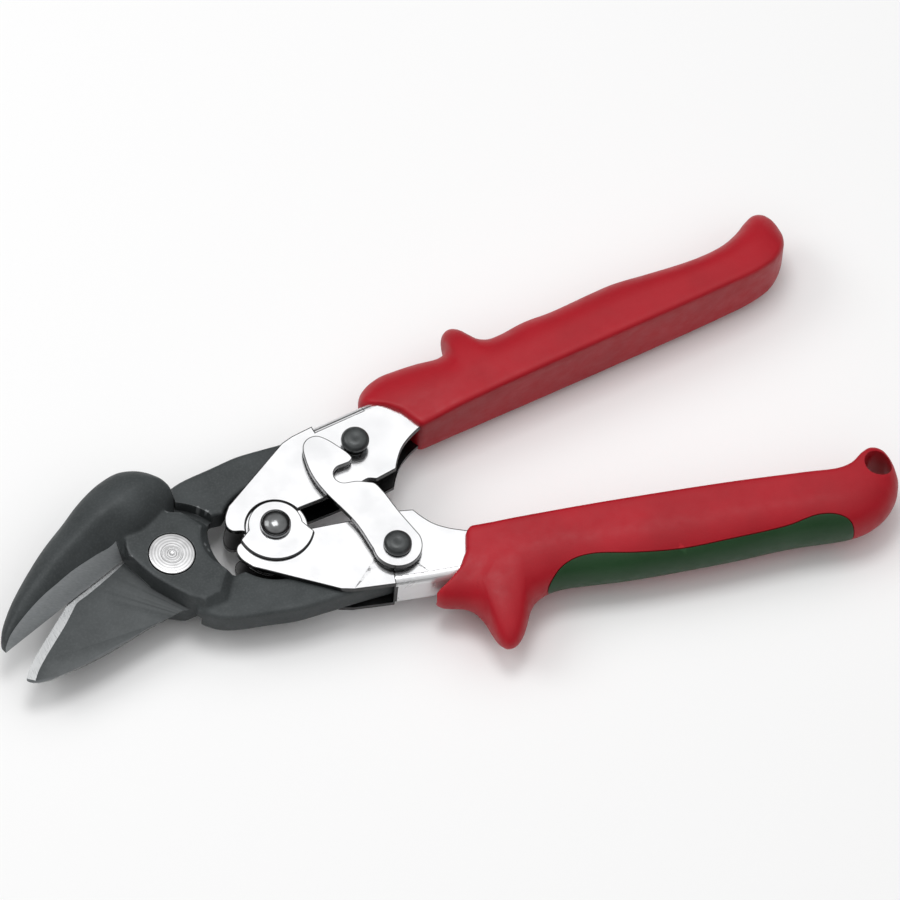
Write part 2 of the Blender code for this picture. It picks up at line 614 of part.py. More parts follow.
def handle_channel(name, side, ear_low, ear_radius, web_start):
    """A U-shaped sheet channel with joggled ears at the handle pivot."""
    to_plane = handle_frame(side)
    frame = prism(name, cheek_outline(to_plane, web_start), -CHANNEL_HALF, CHANNEL_HALF)
    void = prism(name + "_void", channel_void(to_plane, web_start), -CHANNEL_INNER, CHANNEL_INNER, CUTTERS)
    hole = bore(name + "_ear_room", PIVOT_P, ear_radius - EAR_LAP, -CHANNEL_HALF - 1, CHANNEL_HALF + 1, 40)
    cut(frame, void, hole, *fold_cutters(name, to_plane, web_start))
    ears = []
    for half in (1, -1):
        low, high = sorted((half * ear_low, half * (ear_low + SHEET)))
        outline = ear_outline(side, ear_radius)
        ears.append(prism("%s_ear_%d" % (name, half), outline, low, high))
    join(frame, *ears)
    pin = bore(name + "_pivot_bore", PIVOT_P, CENTRE_SHANK_RADIUS + CLEAR, -20, 20, 24)
    link = bore(name + "_link_bore", (LINK_X, side * LINK_SPREAD), LINK_SHANK_RADIUS + CLEAR, -20, 20, 24)
    return cut(frame, pin, link)


def ear_outline(side, radius):
    """The upper ears are round; the lower ears are wide on their own side and narrow on the other."""
    if side > 0:
        return arc(PIVOT_P, radius, 0, 352.5, 47)
    return arc(PIVOT_P, radius, -172, -28, 20) + arc(PIVOT_P, EAR_FREE_RADIUS, -10, 174, 20)


def upper_handle_channel():
    return handle_channel("upper_handle_channel", 1, CHANNEL_INNER - EAR_STEP, EAR_INNER_RADIUS,
                          UPPER_WEB_START)


def lower_handle_channel():
    return handle_channel("lower_handle_channel", -1, CHANNEL_INNER + EAR_STEP, EAR_OUTER_RADIUS,
                          LOWER_WEB_START)


# ---------------------------------------------------------------- latch
def latch():
    """Locking hook on rivet B: a cam slope, a finger and a notch that catches rivet A's neck."""
    reach = 2 * LINK_SPREAD / 35.2
    hook = [(-8.8, 10.3), (-13.7, 22.6), (-15.2, 28.6), (-15.3, 34.0), (-14.5, 38.2), (-12.6, 40.0), (-9.9, 40.2),
            (-7.7, 38.6), (-4.9, 34.9), (-2.9, 31.5), (-2.7, 30.2), (-3.9, 29.3)]
    notch_centre = (-6.6, 26.2)
    notch = arc(notch_centre, 2.9, 88, 262, 8)
    back = [(-1.0, 21.6), (0.6, 20.7), (2.1, 17.2), (3.9, 10.4)]
    end = arc((0, 0), LATCH_END_RADIUS, 8, -188, 14)
    outline = [(x, y * reach) for x, y in hook + notch + back] + end
    plate = prism("latch", shift(outline, RIVET_B), LATCH_BOTTOM, LATCH_TOP)
    return cut(plate, bore("latch_bore", RIVET_B, LINK_SHANK_RADIUS + CLEAR, LATCH_BOTTOM - 1, LATCH_TOP + 1, 24))


def latch_washer():
    """Thin washer that keeps the latch off the channel."""
    low, high = CHANNEL_HALF + CLEAR, LATCH_BOTTOM - CLEAR
    ring = turned("latch_washer", [(0, high), (5.2, high), (5.2, low), (0, low)], RIVET_B)
    return cut(ring, bore("latch_washer_bore", RIVET_B, LINK_SHANK_RADIUS + CLEAR, low - 1, high + 1, 24))


# ---------------------------------------------------------------- grips
def grip_pocket(name, to_plane):
    """Room for the channel inside a grip."""
    c = CLEAR
    w = WEB_OUTER + c
    s_link = LINK_REACH
    outline = [(s_link + 4.0, w), (s_link + 10.0, w), (s_link + 22.0, w - 0.4),
               (CHANNEL_END - 30.0, w - 3.0), (CHANNEL_END + c, w - 4.5), (CHANNEL_END + c, 12.6 - c),
               (s_link + 30.0, 12.6 - c), (s_link + 22.6, 10.3 - c), (s_link + 17.6, 8.5 - c), (s_link + 4.0, 2.0)]
    return prism(name + "_pocket", to_plane(outline), -CHANNEL_HALF - c, CHANNEL_HALF + c, CUTTERS)


def upper_grip_outline():
    g = GRIP_START
    e = GRIP_END - 174.9
    front = [(g + 10.9, 8.6), (g + 9.7, 12.0), (g + 8.0, 16.3), (g + 5.0, 20.1), (g + 1.2, 23.0), (g - 0.3, 25.4)]
    back = [(g + 1.6, 28.8), (g + 4.6, 30.6), (g + 9.0, 31.8), (g + 13.5, 31.5), (g + 20.0, 30.8), (g + 26.5, 29.5),
            (g + 29.4, 29.9), (g + 30.2, 32.2), (g + 30.8, 34.6), (g + 32.2, 36.3), (g + 34.2, 36.9),
            (g + 36.0, 35.9), (g + 37.2, 33.7), (g + 38.6, 30.4), (g + 41.5, 28.5), (g + 45.6, 28.2),
            (g + 53.7, 28.8), (g + 62.0, 28.1), (g + 75.7, 28.4), (g + 82.0, 28.3), (g + 91.4, 26.7)]
    tail = [(144.7 + e, 25.1), (152.4 + e, 24.8), (158.0 + e, 25.5), (163.0 + e, 27.4), (166.8 + e, 29.7),
            (170.4 + e, 31.0), (173.0 + e, 30.2), (174.5 + e, 27.6), (GRIP_END, 23.6), (173.8 + e, 18.4),
            (171.3 + e, 14.8), (167.0 + e, 11.9), (161.0 + e, 10.4), (148.0 + e, 9.9)]
    inner = [(g + 70.0, 9.9), (g + 27.0, 9.9), (g + 14.0, 9.4)]
    return front + back + tail + inner


def lower_grip_outline():
    g = GRIP_START
    e = LOWER_GRIP_END - 176.8
    front = [(g + 12.0, 9.8), (g + 11.0, 12.0), (g + 9.9, 17.6), (g + 7.3, 22.1), (g + 3.2, 25.3), (g - 0.4, 27.2)]
    guard = [(g + 1.2, 29.6), (g + 6.2, 30.8), (g + 10.2, 33.0), (g + 12.7, 37.2), (g + 13.7, 41.6),
             (g + 14.6, 44.8), (g + 16.4, 46.7), (g + 19.0, 46.2), (g + 21.8, 43.2), (g + 24.0, 38.8),
             (g + 25.4, 35.4), (g + 27.4, 32.8), (g + 30.6, 30.8), (g + 35.4, 29.5)]
    back = [(g + 55.0, 29.9), (g + 70.0, 29.5), (g + 84.5, 28.8), (g + 101.9, 27.3)]
    tail = [(160.2 + e, 27.3), (165.6 + e, 26.2), (170.8 + e, 23.4), (174.8 + e, 18.8), (LOWER_GRIP_END, 12.6),
            (176.0 + e, 7.6), (173.7 + e, 4.4), (170.2 + e, 3.7), (167.2 + e, 5.3), (163.8 + e, 8.3),
            (159.8 + e, 9.7)]
    inner = [(g + 87.0, 9.1), (g + 52.0, 9.3), (g + 18.0, 10.0)]
    return front + guard + back + tail + inner


def inlay_outline(grow):
    """Region of the lower grip's back that the soft inlay takes, grown by a gap on the grip's side."""
    g = GRIP_START
    e = LOWER_GRIP_END - 176.8
    edge = [(g + 29.4, 42.0), (g + 30.6, 31.0), (g + 32.8, 28.6), (g + 35.6, 26.6), (g + 39.6, 25.1),
            (g + 45.0, 24.7), (g + 57.0, 26.0), (g + 70.5, 26.6), (g + 83.5, 26.0), (g + 101.0, 24.6),
            (151.1 + e, 23.2), (156.8 + e, 23.9), (161.0 + e, 26.2), (162.0 + e, 40.0)]
    if grow:
        grown = []
        for before, at, after in zip([edge[0]] + edge, edge, edge[1:] + [edge[-1]]):
            along = Vector((after[0] - before[0], after[1] - before[1])).normalized()
            grown.append((at[0] + along.y * grow, at[1] - along.x * grow))
        edge = grown
    return edge


def grip_body(name, side, outline):
    to_plane = handle_frame(side)
    grip = prism(name, to_plane(outline), -GRIP_HALF, GRIP_HALF)
    round_edges(grip, lambda p: abs(p.z) > GRIP_HALF - 0.01, GRIP_BEVEL, 2)
    return grip, to_plane


def upper_grip():
    grip, to_plane = grip_body("upper_grip", 1, upper_grip_outline())
    return cut(grip, grip_pocket("upper_grip", to_plane))


def lower_grip():
    grip, to_plane = grip_body("lower_grip", -1, lower_grip_outline())
    room = prism("inlay_room", to_plane(inlay_outline(INLAY_GAP)), -GRIP_HALF - 2, GRIP_HALF + 2, CUTTERS)
    hole = bore("hang_hole", to_plane([HANG_HOLE_AT])[0], HANG_HOLE_RADIUS, -GRIP_HALF - 2, GRIP_HALF + 2, 24)
    return cut(grip, grip_pocket("lower_grip", to_plane), room, hole)


def lower_grip_inlay():
    inlay, to_plane = grip_body("lower_grip_inlay", -1, lower_grip_outline())
    keep = prism("inlay_keep", to_plane(inlay_outline(0.0)), -GRIP_HALF - 2, GRIP_HALF + 2, CUTTERS)
    return combine(inlay, [keep], "INTERSECT")


# ---------------------------------------------------------------- assembly
def joint_empty(name, centre, parent=None):
    empty = bpy.data.objects.new(name, None)
    empty.empty_display_size = 0.02
    PARTS.objects.link(empty)
    empty.location = (centre[0] * MM, centre[1] * MM, SHEAR_Z * MM)
    bpy.context.view_layer.update()
    attach(empty, parent)
    return empty


def attach(obj, parent):
    if parent:
        obj.parent = parent
        obj.matrix_parent_inverse = parent.matrix_world.inverted()


def build():
    lower_axis = joint_empty("lower_handle_axis", PIVOT_P)
    upper_axis = joint_empty("upper_handle_axis", PIVOT_P, lower_axis)
    nose_axis = joint_empty("nose_blade_axis", RIVET_B, lower_axis)
    blade_axis = joint_empty("lower_blade_axis", PIVOT_O, nose_axis)
    latch_axis = joint_empty("latch_axis", RIVET_B, lower_axis)
    pieces = [
        (nose_blade(), STEEL_BLACK, nose_axis),
        (pivot_bolt(), STEEL_TURNED, nose_axis),
        (pivot_washer(), STEEL_BLACK, nose_axis),
        (pivot_nut(), STEEL_BLACK, nose_axis),
        (lower_blade(), STEEL_BLACK, blade_axis),
        (upper_handle_channel(), STEEL_BRIGHT, upper_axis),
        (link_rivet("upper_link_rivet", RIVET_A), STEEL_BLACK, upper_axis),
        (upper_grip(), PLASTIC_RED, upper_axis),
        (lower_handle_channel(), STEEL_BRIGHT, lower_axis),
        (link_rivet("lower_link_rivet", RIVET_B), STEEL_BLACK, lower_axis),
        (handle_pivot_rivet(), STEEL_BLACK, lower_axis),
        (handle_pivot_sleeve(), STEEL_TURNED, lower_axis),
        (opening_spring(), STEEL_SPRING, lower_axis),
        (lower_grip(), PLASTIC_RED, lower_axis),
        (lower_grip_inlay(), PLASTIC_GREEN, lower_axis),
        (latch_washer(), STEEL_TURNED, lower_axis),
        (latch(), STEEL_BRIGHT, latch_axis),
    ]
    for piece, finish, axis in pieces:
        finish_material(piece, finish)
        smooth(piece.data)
        place(piece)
        attach(piece, axis)


build()
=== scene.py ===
"""Aviation snips: every piece's shape and finish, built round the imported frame.

Lengths are in millimetres here and heights are measured from the shear plane, where the two blades meet.
+X runs from the jaws to the handles and +Z is the main pivot's axis.
"""

import json
import math

import bpy
from mathutils import Matrix, Vector
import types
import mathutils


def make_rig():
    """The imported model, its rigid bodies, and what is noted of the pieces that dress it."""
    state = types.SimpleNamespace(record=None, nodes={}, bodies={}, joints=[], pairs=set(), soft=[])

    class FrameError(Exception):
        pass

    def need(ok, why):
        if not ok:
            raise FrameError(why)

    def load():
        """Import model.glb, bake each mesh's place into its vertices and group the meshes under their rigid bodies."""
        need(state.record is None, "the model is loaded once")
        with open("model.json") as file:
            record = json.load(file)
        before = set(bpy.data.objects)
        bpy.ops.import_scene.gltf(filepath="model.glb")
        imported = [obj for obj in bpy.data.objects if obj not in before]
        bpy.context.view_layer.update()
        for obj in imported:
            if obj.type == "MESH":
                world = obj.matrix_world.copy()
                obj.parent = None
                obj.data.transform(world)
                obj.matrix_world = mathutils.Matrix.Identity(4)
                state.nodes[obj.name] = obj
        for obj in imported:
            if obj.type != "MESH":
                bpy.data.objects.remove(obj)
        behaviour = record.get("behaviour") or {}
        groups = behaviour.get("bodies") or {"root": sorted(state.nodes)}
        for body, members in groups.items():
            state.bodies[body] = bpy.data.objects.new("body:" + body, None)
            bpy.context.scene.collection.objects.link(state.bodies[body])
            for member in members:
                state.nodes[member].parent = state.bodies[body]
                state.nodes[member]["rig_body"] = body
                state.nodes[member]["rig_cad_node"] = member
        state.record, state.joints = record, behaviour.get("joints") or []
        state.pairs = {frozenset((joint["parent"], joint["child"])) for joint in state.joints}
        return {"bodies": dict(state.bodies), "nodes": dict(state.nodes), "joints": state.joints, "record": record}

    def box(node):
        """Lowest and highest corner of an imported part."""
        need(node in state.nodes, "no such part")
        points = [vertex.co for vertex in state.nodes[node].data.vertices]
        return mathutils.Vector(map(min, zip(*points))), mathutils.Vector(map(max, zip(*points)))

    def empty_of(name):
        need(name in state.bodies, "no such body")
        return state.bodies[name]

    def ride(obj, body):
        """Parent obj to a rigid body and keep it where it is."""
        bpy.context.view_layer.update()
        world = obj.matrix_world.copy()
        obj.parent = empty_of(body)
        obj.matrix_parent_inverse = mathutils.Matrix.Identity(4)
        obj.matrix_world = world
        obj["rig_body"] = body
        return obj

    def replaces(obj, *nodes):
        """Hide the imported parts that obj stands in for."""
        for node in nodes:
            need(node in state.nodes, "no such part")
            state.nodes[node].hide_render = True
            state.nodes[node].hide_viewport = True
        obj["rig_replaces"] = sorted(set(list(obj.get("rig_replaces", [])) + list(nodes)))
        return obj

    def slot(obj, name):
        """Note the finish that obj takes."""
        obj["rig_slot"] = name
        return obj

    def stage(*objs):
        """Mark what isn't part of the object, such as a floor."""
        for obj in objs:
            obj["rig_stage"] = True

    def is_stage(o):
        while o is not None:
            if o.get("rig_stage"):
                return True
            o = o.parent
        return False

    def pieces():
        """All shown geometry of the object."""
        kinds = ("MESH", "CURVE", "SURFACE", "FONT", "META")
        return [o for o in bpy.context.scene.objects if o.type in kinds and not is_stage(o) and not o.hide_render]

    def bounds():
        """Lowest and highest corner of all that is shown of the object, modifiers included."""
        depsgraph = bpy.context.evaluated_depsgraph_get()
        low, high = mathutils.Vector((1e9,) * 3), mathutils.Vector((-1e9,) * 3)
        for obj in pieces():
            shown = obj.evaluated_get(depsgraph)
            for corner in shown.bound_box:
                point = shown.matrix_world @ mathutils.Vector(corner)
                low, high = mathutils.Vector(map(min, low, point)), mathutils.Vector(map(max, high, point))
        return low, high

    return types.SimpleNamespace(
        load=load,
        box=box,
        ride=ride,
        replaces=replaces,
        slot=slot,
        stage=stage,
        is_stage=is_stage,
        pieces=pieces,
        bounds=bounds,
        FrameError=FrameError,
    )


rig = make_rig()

MM = 0.001
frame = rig.load()
CAD_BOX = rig.bounds()

# ---------------------------------------------------------------- sizes shared by the pieces
WASHER_TO_SHEAR = 7.8           # the washer's upper face to the shear plane
SHEAR_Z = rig.box("pivot_washer")[1].z / MM + WASHER_TO_SHEAR
PIVOT_O = (0.0, 0.0)
PIVOT_P = (30.9, 0.0)
RIVET_A = (60.9, 17.6)
RIVET_B = (60.9, -17.6)
HANDLE_TILT = math.radians(8.5)
EDGE_ANGLE = math.radians(23.5)
EDGE_OFFSET = 10.5
PLATE_TOP = 7.5
SHEAR_GAP = 0.15
TANG_HALF = 4.2
CHEEK_OUTER = 6.0
CHEEK_INNER = 4.5
SHEET = 1.5
EAR_STEP = 0.9
UPPER_EAR_RADIUS = 9.3
LOWER_EAR_RADIUS = 10.9
UPPER_WEB_START = 24.0           # each channel is open towards the jaws before this
LOWER_WEB_START = 29.5
CLEAR = 0.3
LATCH_BOTTOM = 7.2
LATCH_TOP = 8.7
FORGING_VOXEL = 0.45
BROAD_FACE = 4.0                # square millimetres from which a flat face is shaded flat


# ---------------------------------------------------------------- modelling helpers
def take(obj):
    """Makes obj the only selected object and the active one."""
    bpy.ops.object.select_all(action="DESELECT")
    obj.select_set(True)
    bpy.context.view_layer.objects.active = obj


def in_place(obj):
    """Puts the object's place into its mesh."""
    take(obj)
    bpy.ops.object.transform_apply(location=True, rotation=True, scale=True)
    return obj


def apply_modifier(obj, kind, **settings):
    take(obj)
    modifier = obj.modifiers.new(kind.lower(), kind)
    for key, value in settings.items():
        setattr(modifier, key, value)
    bpy.ops.object.modifier_apply(modifier=modifier.name)
    return obj


def outward(obj):
    take(obj)
    bpy.ops.object.mode_set(mode="EDIT")
    bpy.ops.mesh.select_all(action="SELECT")
    bpy.ops.mesh.normals_make_consistent(inside=False)
    bpy.ops.object.mode_set(mode="OBJECT")
    return obj


def soften(obj, width, segments=2, angle=38.0):
    """Breaks the sharp edges with a small round."""
    return apply_modifier(obj, "BEVEL", width=width * MM, segments=segments, limit_method="ANGLE",
                          angle_limit=math.radians(angle), use_clamp_overlap=True, miter_outer="MITER_ARC")


def shade(obj, angle=32.0):
    take(obj)
    bpy.ops.object.shade_smooth_by_angle(angle=math.radians(angle))
    for face in obj.data.polygons:
        if face.area > BROAD_FACE * MM * MM:
            face.use_smooth = False
    return obj


def lift(obj):
    """Moves a piece made about the shear plane up to its height in the frame."""
    take(obj)
    obj.location.z += SHEAR_Z * MM
    return in_place(obj)


def arc(centre, radius, start, end, steps):
    points = []
    for i in range(steps + 1):
        a = math.radians(start + (end - start) * i / steps)
        points.append((centre[0] + radius * math.cos(a), centre[1] + radius * math.sin(a)))
    return points


def flowing(points, step=0.7):
    """A smooth run through the points, from the first to the last."""
    pts = [Vector(p) for p in points]
    ends = [pts[0] * 2 - pts[1]] + pts + [pts[-1] * 2 - pts[-2]]
    out = []
    for before, a, b, after in zip(ends, ends[1:], ends[2:], ends[3:]):
        d0, d1, d2 = ((a - before).length ** 0.5, (b - a).length ** 0.5, (after - b).length ** 0.5)
        m1 = (a - before) / d0 - (b - before) / (d0 + d1) + (b - a) / d1
        m2 = (b - a) / d1 - (after - a) / (d1 + d2) + (after - b) / d2
        m1, m2 = m1 * d1, m2 * d1
        count = max(1, round((b - a).length / step))
        for i in range(count):
            f = i / count
            out.append(a * (2 * f ** 3 - 3 * f ** 2 + 1) + m1 * (f ** 3 - 2 * f ** 2 + f)
                       + b * (3 * f ** 2 - 2 * f ** 3) + m2 * (f ** 3 - f ** 2))
    return [tuple(p) for p in out] + [tuple(points[-1])]


def outline_of(*runs):
    """One closed outline from runs that meet at corners."""
    points = []
    for run in runs:
        for p in run:
            if not points or (Vector(p) - Vector(points[-1])).length > 0.02:
                points.append(tuple(p))
    if (Vector(points[0]) - Vector(points[-1])).length < 0.02:
        points.pop()
    return points


def plate(name, points, low, high):
    """A flat plate: a filled ring laid on the outline and extruded."""
    bpy.ops.object.select_all(action="DESELECT")
    bpy.ops.mesh.primitive_circle_add(vertices=len(points), radius=MM, fill_type="NGON")
    obj = bpy.context.object
    obj.name = name
    for vert, (x, y) in zip(obj.data.vertices, points):
        vert.co = (x * MM, y * MM, low * MM)
    bpy.ops.object.mode_set(mode="EDIT")
    bpy.ops.mesh.select_all(action="SELECT")
    bpy.ops.mesh.extrude_region_move(TRANSFORM_OT_translate={"value": (0, 0, (high - low) * MM)})
    bpy.ops.mesh.select_all(action="SELECT")
    bpy.ops.mesh.normals_make_consistent(inside=False)
    bpy.ops.object.mode_set(mode="OBJECT")
    return obj


def turned(name, rings, centre, steps=72):
    """A round piece: a filled ring, extruded and scaled from one (radius, height) to the next."""
    radius, height = rings[0]
    bpy.ops.object.select_all(action="DESELECT")
    bpy.ops.mesh.primitive_circle_add(vertices=steps, radius=radius * MM, fill_type="NGON",
                                      location=(centre[0] * MM, centre[1] * MM, height * MM))
    obj = bpy.context.object
    obj.name = name
    in_place(obj)
    bpy.ops.object.mode_set(mode="EDIT")
    bpy.ops.mesh.select_all(action="SELECT")
    for next_radius, next_height in rings[1:]:
        bpy.ops.mesh.extrude_region_move(TRANSFORM_OT_translate={"value": (0, 0,
                                                                           (next_height - height) * MM)})
        factor = next_radius / radius
        bpy.ops.transform.resize(value=(factor, factor, 1), center_override=(centre[0] * MM, centre[1] * MM,
                                                                             next_height * MM))
        radius, height = next_radius, next_height
    bpy.ops.mesh.select_all(action="SELECT")
    bpy.ops.mesh.normals_make_consistent(inside=False)
    bpy.ops.object.mode_set(mode="OBJECT")
    return obj


def bore(centre, radius, low, high, steps=72):
    return turned("bore", [(radius, low), (radius, high)], centre, steps)


def combine(obj, tool, operation):
    """Joins, cuts or trims obj with the tool. Cut faces take the tool's own finish."""
    apply_modifier(obj, "BOOLEAN", operation=operation, object=tool, solver="EXACT", material_mode="TRANSFER")
    bpy.data.objects.remove(tool, do_unlink=True)
    return obj


def cut(obj, *tools):
    for tool in tools:
        combine(obj, tool, "DIFFERENCE")
    return obj


def join(obj, *tools):
    for tool in tools:
        combine(obj, tool, "UNION")
    return obj


def skin(name, rings, ruled_front=False):
    """A closed skin over rings with the same number of points each, from one end to the other.

    A ruled front joins each point of the first ring straight to its mirror point across the ring.
    """
    count = len(rings[0])
    verts = [Vector(p) * MM for ring in rings for p in ring]
    faces = []
    for r in range(len(rings) - 1):
        for i in range(count):
            j = (i + 1) % count
            faces.append((r * count + i, r * count + j, (r + 1) * count + j, (r + 1) * count + i))
    if ruled_front:
        far = [-k % count for k in range(count // 2 + 1)]
        faces += [tuple(dict.fromkeys((k, k + 1, far[k + 1], far[k]))) for k in range(count // 2)]
    else:
        faces.append(tuple(range(count)))
    faces.append(tuple(range(len(verts) - count, len(verts))))
    mesh = bpy.data.meshes.new(name)
    mesh.from_pydata(verts, [], faces)
    obj = bpy.data.objects.new(name, mesh)
    bpy.context.scene.collection.objects.link(obj)
    return outward(obj)


def edge_band(obj, width, material_index):
    """Sets a narrow band of another finish along the borders of the flat sides. Both pieces that use it lay the dark
    edge finish there, as a painted shade line.
    """
    take(obj)
    for face in obj.data.polygons:
        face.select = abs(face.normal.z) > 0.99
    bpy.ops.object.mode_set(mode="EDIT")
    bpy.ops.mesh.select_mode(type="FACE")
    bpy.ops.mesh.quads_convert_to_tris(quad_method="BEAUTY", ngon_method="BEAUTY")
    bpy.ops.mesh.inset(thickness=width * MM, depth=0.0, use_boundary=True, use_even_offset=True,
                       use_select_inset=True)
    bpy.ops.object.mode_set(mode="OBJECT")
    for face in obj.data.polygons:
        if face.select:
            face.material_index = material_index
    return obj


def forge(obj, voxel=FORGING_VOXEL, passes=9):
    """Melts joined solids into one forging with soft edges and fillets."""
    apply_modifier(obj, "REMESH", mode="VOXEL", voxel_size=voxel * MM, adaptivity=0.0)
    apply_modifier(obj, "SMOOTH", factor=0.5, iterations=passes)
    return obj


def finish_with(obj, *materials):
    """Gives the piece its finishes. The first is the body's."""
    obj.data.materials.clear()
    for material in materials:
        obj.data.materials.append(material)
    return obj


def stands_for(obj, node, slot):
    """The piece rides with its node's body and is shown in its place."""
    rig.ride(obj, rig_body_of(node))
    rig.replaces(obj, node)
    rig.slot(obj, slot)
    return obj


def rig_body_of(node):
    return frame["nodes"][node]["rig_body"]


# ---------------------------------------------------------------- finishes
class Finish:
    """A node material that starts with a Principled shader and object coordinates."""

    def __init__(self, name, metallic, roughness, **sockets):
        self.material = bpy.data.materials.new(name)
        self.material.use_nodes = True
        self.tree = self.material.node_tree
        self.shader = self.tree.nodes["Principled BSDF"]
        self.shader.inputs["Metallic"].default_value = metallic
        self.shader.inputs["Roughness"].default_value = roughness
        for key, value in sockets.items():
            self.shader.inputs[key.replace("_", " ")].default_value = value
        self.place = self.tree.nodes.new("ShaderNodeTexCoord").outputs["Object"]

    def link(self, a, b):
        self.tree.links.new(a, b)

    def stretched(self, scale, turn=(0.0, 0.0, 0.0)):
        """Object coordinates stretched to run along one direction."""
        mapping = self.tree.nodes.new("ShaderNodeMapping")
        mapping.inputs["Scale"].default_value = scale
        mapping.inputs["Rotation"].default_value = turn
        self.link(self.place, mapping.inputs["Vector"])
        return mapping.outputs["Vector"]

    def noise(self, scale, detail=3.0, vector=None, roughness=0.55):
        noise = self.tree.nodes.new("ShaderNodeTexNoise")
        noise.inputs["Scale"].default_value = scale
        noise.inputs["Detail"].default_value = detail
        noise.inputs["Roughness"].default_value = roughness
        self.link(vector or self.place, noise.inputs["Vector"])
        return noise.outputs["Fac"]

    def span(self, value, low, high, to_low, to_high):
        node = self.tree.nodes.new("ShaderNodeMapRange")
        for key, number in zip(("From Min", "From Max", "To Min", "To Max"), (low, high, to_low, to_high)):
            node.inputs[key].default_value = number
        self.link(value, node.inputs["Value"])
        return node.outputs["Result"]

    def ramp(self, value, *stops):
        node = self.tree.nodes.new("ShaderNodeValToRGB")
        elements = node.color_ramp.elements
        while len(elements) < len(stops):
            elements.new(0.5)
        for element, (place, colour) in zip(elements, stops):
            element.position = place
            element.color = (*colour, 1.0)
        self.link(value, node.inputs["Fac"])
        return node.outputs["Color"]

    def mix(self, factor, a, b):
        """Blends colour a to colour b. A plain colour may stand for either."""
        node = self.tree.nodes.new("ShaderNodeMix")
        node.data_type = "RGBA"
        self.link(factor, node.inputs["Factor"])
        for socket, colour in ((node.inputs["A"], a), (node.inputs["B"], b)):
            sockets = [s for s in node.inputs if s.name == socket.name and s.type == "RGBA"]
            if isinstance(colour, tuple):
                sockets[0].default_value = (*colour, 1.0)
            else:
                self.link(colour, sockets[0])
        return [s for s in node.outputs if s.type == "RGBA"][0]

    def add(self, a, b, factor):
        node = self.tree.nodes.new("ShaderNodeMath")
        node.operation = "MULTIPLY_ADD"
        self.link(b, node.inputs[0])
        node.inputs[1].default_value = factor
        self.link(a, node.inputs[2])
        return node.outputs["Value"]

    def colour(self, socket):
        self.link(socket, self.shader.inputs["Base Color"])

    def rough(self, socket):
        self.link(socket, self.shader.inputs["Roughness"])

    def bump(self, height, distance, strength=1.0):
        node = self.tree.nodes.new("ShaderNodeBump")
        node.inputs["Strength"].default_value = strength
        node.inputs["Distance"].default_value = distance * MM
        self.link(height, node.inputs["Height"])
        self.link(node.outputs["Normal"], self.shader.inputs["Normal"])

    def raised_edge_share(self, low, high):
        """How far a place is a raised edge, from 0 to 1. The finishes lighten such edges, and on the grips and partly
        on the forging that lightening is a painted highlight.
        """
        geometry = self.tree.nodes.new("ShaderNodeNewGeometry")
        return self.span(geometry.outputs["Pointiness"], low, high, 0.0, 1.0)


def black_oxide_forging():
    f = Finish("black_oxide_forging", 0.12, 0.5, Specular_IOR_Level=0.17)
    broad = f.noise(70.0, 4.0)
    grain = f.noise(1500.0, 2.0)
    body = f.ramp(broad, (0.30, (0.041, 0.046, 0.047)), (0.72, (0.062, 0.069, 0.071)))
    speckled = f.mix(f.span(grain, 0.45, 0.75, 0.0, 0.30), body, (0.095, 0.102, 0.106))
    # Lighter along raised edges: partly edge wear, partly a painted highlight along the rims.
    f.colour(f.mix(f.raised_edge_share(0.515, 0.60), speckled, (0.20, 0.21, 0.215)))
    f.rough(f.span(f.noise(260.0, 4.0), 0.3, 0.7, 0.42, 0.60))
    f.bump(f.add(grain, f.noise(420.0, 3.0), 0.8), 0.035)
    return f.material


def ground_facet():
    f = Finish("ground_facet", 0.35, 0.45)
    scratches = f.noise(1.0, 3.0, f.stretched((260.0, 5200.0, 900.0), (0, 0, -EDGE_ANGLE)))
    f.colour(f.ramp(scratches, (0.3, (0.33, 0.35, 0.36)), (0.7, (0.43, 0.45, 0.46))))
    f.rough(f.span(scratches, 0.3, 0.7, 0.36, 0.50))
    f.bump(scratches, 0.006)
    return f.material


def ground_land_and_rim_highlight():
    # Bright ground steel: the real land along the cutting edge, and a painted highlight on the strip along the lower
    # jaw's rim.
    f = Finish("ground_land_and_rim_highlight", 0.9, 0.32)
    scratches = f.noise(1.0, 3.0, f.stretched((4200.0, 300.0, 600.0), (0, 0, math.radians(-46))))
    f.colour(f.ramp(scratches, (0.3, (0.41, 0.42, 0.425)), (0.7, (0.50, 0.505, 0.51))))
    f.rough(f.span(scratches, 0.3, 0.7, 0.24, 0.4))
    f.bump(scratches, 0.004)
    return f.material


def blackened_hardware(name, roughness, base, metallic=0.45):
    f = Finish(name, metallic, roughness, Specular_IOR_Level=0.5)
    broad = f.noise(420.0, 3.0)
    dark, light = tuple(c * 0.8 for c in base), tuple(c * 1.25 for c in base)
    body = f.ramp(broad, (0.3, dark), (0.7, light))
    f.colour(f.mix(f.raised_edge_share(0.53, 0.62), body, (0.16, 0.165, 0.17)))
    f.rough(f.span(broad, 0.3, 0.7, roughness * 0.85, roughness * 1.15))
    f.bump(f.noise(1600.0, 2.0), 0.012)
    return f.material


